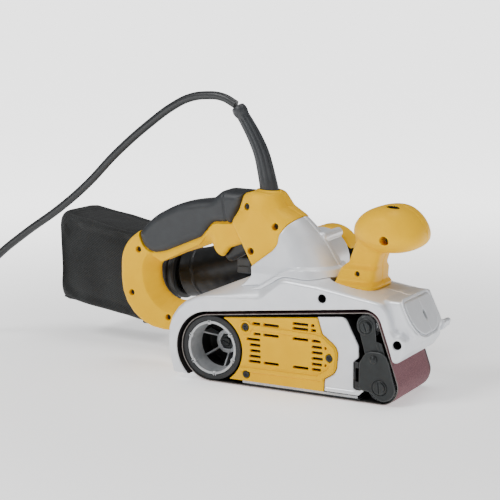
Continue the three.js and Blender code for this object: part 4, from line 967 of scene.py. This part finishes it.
def slotted(name, at, r, y, turn, body, dome=0.0):
    """A flat head with a slot at that turn, or a domed one."""
    b = Block((at[0] - r - 1, y - 2.4 - dome, at[1] - r - 1), (at[0] + r + 1, y + 3.4, at[1] + r + 1), 0.25)
    head = b.rod(at, r, y, y + 2.4, 0.5)
    if dome:
        ball = np.hypot(b.disc(at, 0), (b.y - y - 0.6) * 1.6) - r * 0.82
        head = np.maximum(join(head, ball, 0.4), y - dome - b.y)
    else:
        u = (b.x - at[0]) * math.cos(turn) + (b.z - at[1]) * math.sin(turn)
        head = cut(head, np.maximum(np.abs(u) - 0.75, b.y - y - 1.0), 0.25)
    single(name, b, body, DARK_STEEL, head)


def make_rollers():
    b = Block((58, -41.5, 31), (91, -35, 83), 0.4)
    arm = b.prism(ARM, -39.2, -37.3, 0.6)
    arm = join(arm, b.plate(np.abs(b.disc(UPPER_ROLLER, 6.8)) - 0.7, -39.7, -38, 0.4), 0.5)
    rib = streak(b, [(79.6, 55), (82.0, 46)], 1.0)
    arm = join(arm, b.plate(rib, -39.6, -38, 0.4), 0.6)
    arm = cut(arm, b.rod(PIVOT, 3.1, -50, -30))
    single("tracking_arm", b, "tracking_arm", DARK_STEEL, arm)

    b = Block((59.5, -43.5, 1), (103, 40, 52), 0.6)
    plate = join(b.prism(YOKE, -41.8, -39.6, 0.8), b.rod(LOWER_ROLLER, 7.4, -42.0, -39.6, 0.5), 0.8)
    plate = cut(plate, b.plate(np.abs(b.disc(LOWER_ROLLER, 6.7)) - 0.5, -45, -41.3), 0.4)
    yoke = join(plate, b.box((63.2, 65.6), (-40, 38.6), (19.6, 30.4), 0.7), 1)
    yoke = cut(yoke, b.rod(PIVOT, 2.3, -50, -30))
    single("tension_yoke", b, "tension_yoke", DARK_STEEL, yoke)

    b = Block((55, -40.5, 11), (64, -36, 38), 0.4)
    guide = b.box((56.2, 61.8), (-39.2, -37.3), (12.2, 36.6), 0.7)
    for z in (17, 31.8):
        guide = cut(guide, b.box((56.9, 58.3), (-45, -38.2), (z - 4, z + 4), 0.4), 0.3)
    guide = cut(guide, b.box((58.7, 64), (-45, -30), (18.8, 31.2)))
    single("slide_guide", b, "machine", BLACK, guide)

    for name, at, r in (("upper_roller", UPPER_ROLLER, 11.1), ("lower_roller", LOWER_ROLLER, 15.3)):
        b = Block((at[0] - r - 2, -36.5, at[1] - r - 2), (at[0] + r + 2, 37.5, at[1] + r + 2), 0.7)
        roll = b.rod(at, r, -35, 36, 1.2)
        for y in (-35, 36):
            roll = cut(roll, b.plate(np.abs(b.disc(at, (r + 6.2) / 2)) - (r - 7.4) / 2 + 0.6, y - 3, y + 3, 1.0), 0.4)
        roll = cut(roll, b.rod(at, 4.3, -40, 40), 0.4)
        # Painted shade: both ends of each bright steel roller take the blackened steel, for the shadow at the ends
        # beside the arm and the belt.
        paint_shade(single(name, b, name, STEEL, roll), DARK_STEEL, lambda x, y, z: np.abs(y - 0.5) > 34.9)
    slotted("upper_axle_screw", UPPER_ROLLER, 4.6, -41.2, 0.35, "tracking_arm")
    slotted("lower_axle_screw", LOWER_ROLLER, 5.4, -43.9, 0.1, "tension_yoke")
    slotted("pivot_pin", PIVOT, 3.6, -43.2, 0, "tension_yoke", dome=1.2)


def make_belt():
    """The band as one closed strip, its grit outside and cloth inside, with a slanted glued splice."""
    outer = np.array(band(LOOP, 0, 320))
    closed = np.vstack([outer, outer[:1]])
    along = np.concatenate([[0], np.cumsum(np.hypot(*np.diff(closed, axis=0).T))])
    count, across = 360, 13
    s = np.arange(count) * along[-1] / count
    line = np.stack([np.interp(s, along, closed[:, k]) for k in (0, 1)], axis=1)
    tangent = np.roll(line, -1, 0) - np.roll(line, 1, 0)
    tangent /= np.linalg.norm(tangent, axis=1)[:, None]
    normal = np.stack([tangent[:, 1], -tangent[:, 0]], axis=1)
    fray = np.random.default_rng(7).normal(0, 1, (count, 2))
    for _ in range(2):
        fray = (fray + np.roll(fray, 1, 0) + np.roll(fray, -1, 0)) / 3
    y = np.tile(np.linspace(-38, 38, across), (count, 1))
    depth = np.zeros((count, 2, across))
    depth[:, 0] = -0.15 * (np.abs(s[:, None] - 150 - 0.5 * y) < 2.2)
    depth[:, 0, [0, -1]] -= 0.12
    depth[:, 1] = -1
    y[:, [0, -1]] += 0.16 * fray
    flat = line[:, None, None] + normal[:, None, None] * depth[..., None]
    points = np.stack([flat[..., 0], np.stack([y, y], axis=1), flat[..., 1]], axis=-1).reshape(-1, 3)
    per, faces = 2 * across, []
    for i in range(count):
        a, b = i * per, (i + 1) % count * per
        for k in range(across - 1):
            faces.append((a + k, a + k + 1, b + k + 1, b + k))
            faces.append((a + across + k + 1, a + across + k, b + across + k, b + across + k + 1))
        faces.append((a, b, b + across, a + across))
        faces.append((a + across - 1, a + per - 1, b + per - 1, b + across - 1))
    paints = ([0, 1] * (across - 1) + [2, 2]) * count
    mesh = mesh_of("sanding_belt", points, faces)
    link("sanding_belt_piece", mesh, "sanding_belt", GRIT, ["sanding_belt"])
    mesh.materials.append(BACKING)
    mesh.materials.append(BELT_EDGE)
    mesh.polygons.foreach_set("material_index", paints)
    mesh.polygons.foreach_set("use_smooth", [paint != 2 for paint in paints])


def make_tension():
    lever = [(66, 40, 6), (80, 38, 6), (109, 55.5, 3), (111.6, 64.5, 3), (103, 63, 3), (76, 52, 8), (64, 52, 6)]
    tab = [(103.6, 55), (109, 55.8, 2.5), (111.4, 64.2, 2.5), (104.6, 62.6, 2)]
    b = Block((62, 42.5, 36), (114, 63, 67), 0.5)
    b.body = b.prism(lever, 44.4, 48.4, 1.0)
    b.join(b.prism(tab, 45, 61, 1.4), 2.5)
    b.cut(b.rod((72.5, 45.5), 3.2, 47.2, 60), 0.5)
    b.cut(b.plate(streak(b, [(84, 47.6), (98, 55.4)], 1.6), 47.6, 60), 0.5)
    single("tension_lever", b, "tension_lever", SILVER)

    at = (38, 62)
    b = Block((27, 39, 51), (49, 57, 73), 0.45)
    turn = b.around(at)
    grip = b.plate(b.disc(at, 8.5) + 0.75 * (1 - np.abs(np.cos(4 * turn))) ** 1.4, 44.5, 55.5, 1.2)
    grip = cut(grip, b.rod(at, 5.2, 54.6, 60), 0.4)
    grip = join(grip, b.box((37.2, 38.8), (52, 55.4), (57.4, 66.6), 0.4), 0.4)
    grip = join(grip, b.rod(at, 3, 39.8, 45))
    single("tracking_knob", b, "tracking_knob", BLACK, grip)


# ---- Covers on the drive side
COVER_ENDS = [(-88.5, 34.2, 30.6), (-31, 88, 21)]
DRIVE_SCREWS = ((-108, 46), (-74, 12.5), (-24, 73))


def make_drive_covers():
    b = Block((-43, 38.5, 83), (19, 71, 145), 0.7)
    b.body = b.rod(MOTOR, 28.5, 39.9, 69, 5)
    b.cut(b.rod(MOTOR, 17, 67.6, 80), 1.2)
    b.join(b.rod(MOTOR, 6, 60, 68.8, 1), 1.5)
    b.cut(b.rod(MOTOR, 26, 38, 66.6, 2))
    r = b.disc(MOTOR, 0)
    turn = b.around(MOTOR)
    slots = np.abs((turn * 6 / math.pi) % 1 - 0.5) * (math.pi * r / 6) - 1.1
    b.cut(meet(np.maximum(slots, np.abs(r - 11.8) - 3.2), 60 - b.y), 0.5)
    lean_cos, lean_sin = math.cos(0.698), math.sin(0.698)
    u = (b.x - MOTOR[0]) * lean_cos + (b.z - MOTOR[1]) * lean_sin
    v = (b.z - MOTOR[1]) * lean_cos - (b.x - MOTOR[0]) * lean_sin
    gap = np.maximum(np.maximum(v, -40 - v), np.maximum(np.abs(u) - 26, b.y - 56.5))
    b.cut(np.maximum(gap, r - 60), 0.4)
    b.cut(b.box((-60, MOTOR[0]), (57.6, 66), (100, 118), 1), 0.5)
    single("fan_cover", b, "machine", YELLOW)

    b = Block((-121, 43, 2), (-8, 61, 111), 0.8)
    flat = b.outline(band(COVER_ENDS, 0))
    b.body = b.plate(flat, 44.3, 59.4, 3.2)
    rib = np.abs(flat + 7.5) - 0.8
    b.cut(b.plate(rib, 58.6, 70), 0.6)
    b.join(b.plate(streak(b, [(-86, 36), (-34, 85)], 3.0), 58, 60.2, 0.8), 1.5)
    b.cut(b.plate(flat + 2.2, 40, 56.8, 1.5))
    b.cut(b.rod(MOTOR, 28.9, 30, 80), 0.5)
    b.cut(duct_field(b) - 0.6, 0.5)
    b.bore(DRIVE_SCREWS, 3.1, 57.8, 70, 0.5)
    single("drive_belt_cover", b, "machine", SILVER)
    screws = make_screws("drive_cover_screws", [(-x, 1, z) for x, z in DRIVE_SCREWS], 2.6)
    for vertex in screws.data.vertices:
        vertex.co.x, vertex.co.y = -vertex.co.x, 0.0592 - vertex.co.y


# ---- Dust duct, collar and bag
DUCT_PATH = [(-42, 68.5, 110), (-76, 68, 104.5), (-112, 66.5, 94), (-150, 65, 83.5), (-172, 64, 79.4)]
DUCT_RADII = [11, 15.6, 21, 23.8, 24]


def duct_field(b, less=0.0):
    body = None
    line = curve_through(DUCT_PATH, 13)
    radii = np.interp(np.linspace(0, 4, 13), range(5), DUCT_RADII) - less
    for p, q, r0, r1 in zip(line, line[1:], radii, radii[1:]):
        part = b.bar(p, q, r0, r1)
        body = part if body is None else join(body, part, 1.0)
    for end, before in ((line[0], line[1]), (line[-1], line[-2])):
        d = (end - before) / np.linalg.norm(end - before)
        past = (b.x - end[0]) * d[0] + (b.y - end[1]) * d[1] + (b.z - end[2]) * d[2]
        body = np.maximum(body, past - less)
    return body


def make_duct():
    b = Block((-186, 40, 56), (-38, 88, 126), 0.8)
    b.body = duct_field(b)
    b.join(meet(b.body - 0.9, np.abs(b.x + 160 + 0.22 * (b.z - 95)) - 1.1, 0.6), 0.6)
    b.join(b.bar((-164, 63.4, 84.6), (-182, 62.6, 80.8), 17.2), 0.8)
    b.body = np.maximum(b.body, (-183.5 - b.x) - 0.2 * (b.z - 81))
    hollow = join(duct_field(b, 2.5), b.bar((-160, 63.5, 85.4), (-190, 62.4, 79.2), 15))
    hollow = join(hollow, b.bar((-30, 68.6, 111.3), (-44, 68.5, 109.8), 8.5))
    b.cut(hollow, 0.5)
    single("dust_duct", b, "machine", BLACK)
    b = Block((-110, 42, 86), (-90, 58, 106), 0.4)
    pad = cut(b.box((-107.5, -92.5), (44, 56), (88.5, 103.5), 1.4), duct_field(b) - 0.2, 0.3)
    pad = cut(pad, b.box((-107.5, -92.5), (40, 44.6), (95.4, 96.4), 0.2), 0.3)
    link("duct_latch_block", b.mesh("duct_latch_block", pad), "machine", GREY)

    b = Block((-210, 34, 50), (-170, 94, 113), 0.7)
    start, end = np.array((-173.6, 63, 80.6)), np.array((-206.0, 66, 79.4))
    d = (end - start) / np.linalg.norm(end - start)
    rel = [b.x - start[0], b.y - start[1], b.z - start[2]]
    t = sum(r * k for r, k in zip(rel, d))
    radial = np.sqrt(np.maximum(sum(r * r for r in rel) - t * t, 0))
    wide = 24.2 + 2.6 * ramp_up(np.cos(2 * math.pi * (t - 3) / 9.2), -0.5, 0.6)
    b.body = meet(radial - wide, np.abs(t - 16.2) - 16.2, 1.4)
    b.cut(meet(radial - 19.9, np.abs(t - 16) - 30), 0.5)
    single("bag_collar", b, "bag", BLACK)


def bag_ring(x, middle, half_y, half_z, centre_y, sides):
    """One section of the bag, squarer along its length than at its mouth and its back, which is a little hollow."""
    turn = (np.arange(sides) + 0.5) * 2 * math.pi / sides
    corner = np.interp(x, [-320.8, -320.5, -319.8, -313, -216, -211], [1.0, 0.7, 0.4, 0.36, 0.36, 0.9])
    u, v = (np.sign(t) * np.abs(t) ** corner for t in (np.cos(turn), np.sin(turn)))
    hollow = 2.4 * (1 - (half_z * v / 49) ** 2) * np.clip((-290 - x) / 26, 0, 1)
    return np.stack([x + hollow, centre_y + half_y * u, middle + half_z * v], axis=1)


BAG_STATIONS = np.array([  # x, middle z, half width, half height, middle y
    (-209.4, 80, 22.6, 22.6, 67), (-210.6, 80, 24.5, 24.5, 67.4), (-211.8, 77, 31, 34, 74), (-213, 74, 36.6, 43, 79),
    (-215, 73.4, 38.8, 46, 80), (-219, 73.4, 39.8, 47.6, 80), (-250, 78, 40, 48, 80), (-290, 84, 40, 48.6, 80),
    (-314, 87, 39.8, 48.6, 80), (-318.4, 87.6, 38.6, 47.2, 80), (-320.2, 87.9, 35.6, 44, 80), (-320.6, 88, 20, 24, 80),
    (-320.8, 88, 3, 3.4, 80),
])
BAG_MIDDLE = -262


def make_bag():
    """A sewn box of cloth on the collar, filled out by air and sagging between its seams."""
    sides = 96
    spread = np.concatenate([np.linspace(0, 5, 22)[:-1], np.linspace(5, 8, 34)[:-1], np.linspace(8, 12, 26)])
    rows = np.stack([np.interp(spread, range(len(BAG_STATIONS)), column) for column in BAG_STATIONS.T], axis=1)
    points = np.concatenate([bag_ring(*row, sides) for row in rows])
    back = list(range((len(rows) - 1) * sides, len(rows) * sides))
    shell = bpy.data.meshes.new("bag_shell")
    shell.from_pydata((points * MM).tolist(), [], ring_quads(len(rows), sides, outward=False) + [back])
    obj = bpy.data.objects.new("dust_bag_cloth", shell)
    bpy.context.scene.collection.objects.link(obj)
    relax_cloth(obj)
    co = np.array([v.co for v in shell.vertices]) / MM
    normal = np.array([v.normal for v in shell.vertices])
    x, y, z = co.T.copy()
    free = np.clip((-213 - x) / 12, 0, 1)
    folds = 0.5 * np.sin(0.11 * x + 0.07 * z + 0.9) + 0.35 * np.sin(0.19 * z - 0.05 * y + 1.7)
    folds += 0.3 * np.sin(0.16 * x - 0.13 * y)
    gather = 0.7 * np.exp(-(((x + 222) / 9) ** 2)) * np.sin(0.55 * z + 0.4 * y)
    co += normal * ((0.8 * folds + gather) * free)[:, None]
    co[:, 2] -= 1.5 * np.clip((z - 60) / 70, 0, 1) * np.exp(-(((x - BAG_MIDDLE) / 34) ** 2)) * free
    co[:, 1] = np.maximum(co[:, 1], 39.2)
    shell.vertices.foreach_set("co", (co * MM).ravel())
    shell.polygons.foreach_set("use_smooth", [True] * len(shell.polygons))
    shell.materials.append(BAG_CLOTH)
    smooth = obj.modifiers.new("smooth", "SUBSURF")
    smooth.levels = smooth.render_levels = 1
    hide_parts("dust_bag")
    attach(obj, "bag")
    b = Block((-220, 39, 22), (-190, 66, 36), 0.5)
    tab = join(b.box((-218, -193), (43, 62), (26, 32), 2), b.box((-199, -196), (40.6, 64), (24, 33.4), 1), 1)
    link("bag_frame_tab", b.mesh("bag_frame_tab", tab), "bag", BLACK)
    run = np.linspace(-217, -315, 40)
    middle, half_y, half_z = (np.interp(-run, -BAG_STATIONS[:, 0], BAG_STATIONS[:, k]) for k in (1, 2, 3))
    corner = 0.5**0.18 * 0.99
    for word, side in (("upper", 1), ("lower", -1)):
        drop = 1.2 * (side > 0) * np.exp(-(((run - BAG_MIDDLE) / 34) ** 2))
        seam = np.stack([run, 80 - half_y * corner, middle + side * half_z * corner - drop], axis=1)
        piping = tube_mesh(f"bag_piping_{word}", seam, [0.9] * len(seam), 10)
        link(f"bag_piping_{word}", piping, "bag", BAG_CLOTH)


CLOTH = {
    "quality": 6, "mass": 0.3, "tension_stiffness": 40, "compression_stiffness": 40, "bending_stiffness": 4,
    "use_pressure": True, "uniform_pressure_force": 4, "vertex_group_mass": "mouth",
}
CLOTH_STEPS, CLOTH_REACH = 20, 0.0035


def relax_cloth(obj):
    """Fill the sewn box with air for a moment, held at its mouth, and keep the shape that it takes."""
    start = np.array([v.co for v in obj.data.vertices])
    held = obj.vertex_groups.new(name="mouth")
    held.add([i for i, p in enumerate(start) if p[0] > -0.2145], 1.0, "REPLACE")
    cloth = obj.modifiers.new("cloth", "CLOTH")
    for key, value in CLOTH.items():
        setattr(cloth.settings, key, value)
    cloth.settings.effector_weights.gravity = 0
    cloth.collision_settings.use_collision = cloth.collision_settings.use_self_collision = False
    cloth.point_cache.frame_start, cloth.point_cache.frame_end = 1, CLOTH_STEPS
    scene = bpy.context.scene
    for i in range(1, CLOTH_STEPS + 1):
        scene.frame_set(i)
    evaluated = obj.evaluated_get(bpy.context.evaluated_depsgraph_get())
    move = np.array([v.co for v in evaluated.data.vertices]) - start
    obj.modifiers.remove(cloth)
    scene.frame_set(1)
    far = np.linalg.norm(move, axis=1)
    move *= (np.minimum(far, CLOTH_REACH) / np.maximum(far, 1e-9))[:, None]
    obj.data.vertices.foreach_set("co", (start + move).ravel())
    obj.data.update()


def cloth_finish():
    """A dark twill: fine slanting ridges, a softer cross weave, uneven dye and a little sheen."""
    made = toned("bag_twill", (20, 24, 25), (13, 16, 17), (0.7, 0.9), mottle=45, grain=1400, depth=0.4, sheen=0.12)
    tree = made.node_tree
    at = add_node(tree, "TexCoord").outputs["Object"]
    at = add_node(tree, "Mapping", {"Rotation": (0, math.radians(38), 0), "Vector": at}).outputs["Vector"]
    ridges, weave = (
        add_node(
            tree, "TexWave", {"Scale": scale, "Distortion": 1.2, "Detail": 1.0, "Detail Scale": 2.0, "Vector": at},
            bands_direction=direction,
        ).outputs["Fac"]
        for direction, scale in (("X", 200), ("Z", 330))
    )
    height = add_node(tree, "Math", {0: ridges, 1: 1.6, 2: weave}, operation="MULTIPLY_ADD").outputs[0]
    bump = add_node(tree, "Bump", {"Strength": 0.65, "Distance": 0.0005, "Height": height})
    tree.links.new(bump.outputs["Normal"], tree.nodes["Principled BSDF"].inputs["Normal"])
    return made


BAG_CLOTH = cloth_finish()


# ---- Strain relief
RELIEF = [(-47.4, 0, 170), (-48.6, 0, 180), (-55.6, 0, 209), (-63, 0, 226), (-72.4, 0, 241.6), (-82, 0, 255.4)]


def make_relief():
    line = curve_through(RELIEF, 90)
    s = np.linspace(0, 1, 90)
    radii = np.interp(s, [0, 0.12, 0.2, 0.9, 0.93, 0.965, 1.0], [8.7, 8.7, 8.4, 6.0, 6.9, 7.1, 6.2])
    fade = ramp_up(s, 0.16, 0.24) * (1 - ramp_up(s, 0.84, 0.9))
    ridge = lambda a, i: -1.15 * fade[i] * (1 - np.abs(np.cos(5 * a))) ** 1.3
    step = line[-1] - line[-2]
    line = np.vstack([line, line[-1] + step * 0.6, line[-1] + step * 0.7])
    radii = np.append(radii, [5.4, 4.4])
    fade = np.append(fade, [0, 0])
    mesh = tube_mesh("strain_relief", line, radii, 60, ridge=ridge)
    link("strain_relief_piece", mesh, "machine", RUBBER, ["strain_relief"])


# ---- Pieces inside, which keep their CAD shapes
INSIDE = {
    "switch_module": BLACK, "control_module": POTTING, "platen": STEEL, "platen_pad": PAD, "drum_gear": STEEL,
    "drum_bearing": STEEL, "upper_axle": STEEL, "lower_axle": STEEL, "tension_spring": STEEL,
    "motor_stator": DARK_STEEL, "armature": STEEL, "commutator": COPPER, "brush_holder_front": BRASS,
    "brush_holder_rear": BRASS, "motor_bearing_right": STEEL, "motor_bearing_left": STEEL, "dust_fan": BLACK,
    "motor_pulley": STEEL, "drive_belt": TYRE, "gear_pulley": DARK_STEEL,
}


def finish_inside():
    for name, paint in INSIDE.items():
        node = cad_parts[name]
        node.data.materials.clear()
        node.data.materials.append(paint)


for make in (
    make_housing, make_nose_panel, make_tower, make_handle, make_grip, make_controls, make_knob, make_cover,
    make_frame, make_drum, make_rollers, make_belt, make_tension, make_drive_covers, make_duct, make_bag,
    make_relief, finish_inside,
):
    make()


LAMPS = (
    ("key", (-0.7, -1.3, 1.6), (-0.05, 0, 0.1), 0.7, 27),
    ("fill", (1.8, -0.8, 0.9), (0, 0, 0.1), 1.4, 6),
    ("top", (0.2, 0.3, 2.0), (-0.05, 0, 0.1), 1.0, 15),
)
FLOOR_REACH = 40
FLOOR_GLOW = {"From Min": 0.2, "From Max": 1.3, "To Min": 0.62, "To Max": 2.6}


def make_stage():
    """A pale floor with a painted glow that is dim by the machine and brightens away from it, three lamps and a dim
    white world.
    """
    floor = bpy.data.meshes.new("floor")
    ends = (-FLOOR_REACH, FLOOR_REACH)
    floor.from_pydata([(x, y, 0) for x in ends for y in ends], [], [(0, 2, 3, 1)])
    paint = toned("floor_paint", (250, 250, 250), (248, 248, 248), (0.8, 0.9), mottle=3, grain=40, depth=0.02)
    tree = paint.node_tree
    glow = tree.nodes["Principled BSDF"].inputs
    glow["Emission Color"].default_value = (1, 1, 1, 1)
    at = add_node(tree, "TexCoord").outputs["Object"]
    far = add_node(tree, "VectorMath", {0: at}, operation="LENGTH").outputs["Value"]
    spread = add_node(tree, "MapRange", {**FLOOR_GLOW, "Value": far}, interpolation_type="SMOOTHSTEP")
    # Painted light: the floor glows, weakly by the machine and strongly far from it.
    tree.links.new(spread.outputs["Result"], glow["Emission Strength"])
    floor.materials.append(paint)
    pieces = [bpy.data.objects.new("floor", floor)]
    pieces[0].location.z = -0.0006
    for name, place, aim, size, power in LAMPS:
        data = bpy.data.lights.new(name, "AREA")
        data.size, data.energy = size, power
        lamp = bpy.data.objects.new(name, data)
        lamp.location = place
        lamp.rotation_euler = (Vector(aim) - Vector(place)).to_track_quat("-Z", "Y").to_euler()
        pieces.append(lamp)
    for piece in pieces:
        bpy.context.scene.collection.objects.link(piece)
    world = bpy.data.worlds.new("world")
    world.use_nodes = True
    background = world.node_tree.nodes["Background"].inputs
    background["Color"].default_value = (1, 1, 1, 1)
    background["Strength"].default_value = 0.16
    bpy.context.scene.world = world


make_stage()
cord_length = curve_length(mains_cord)
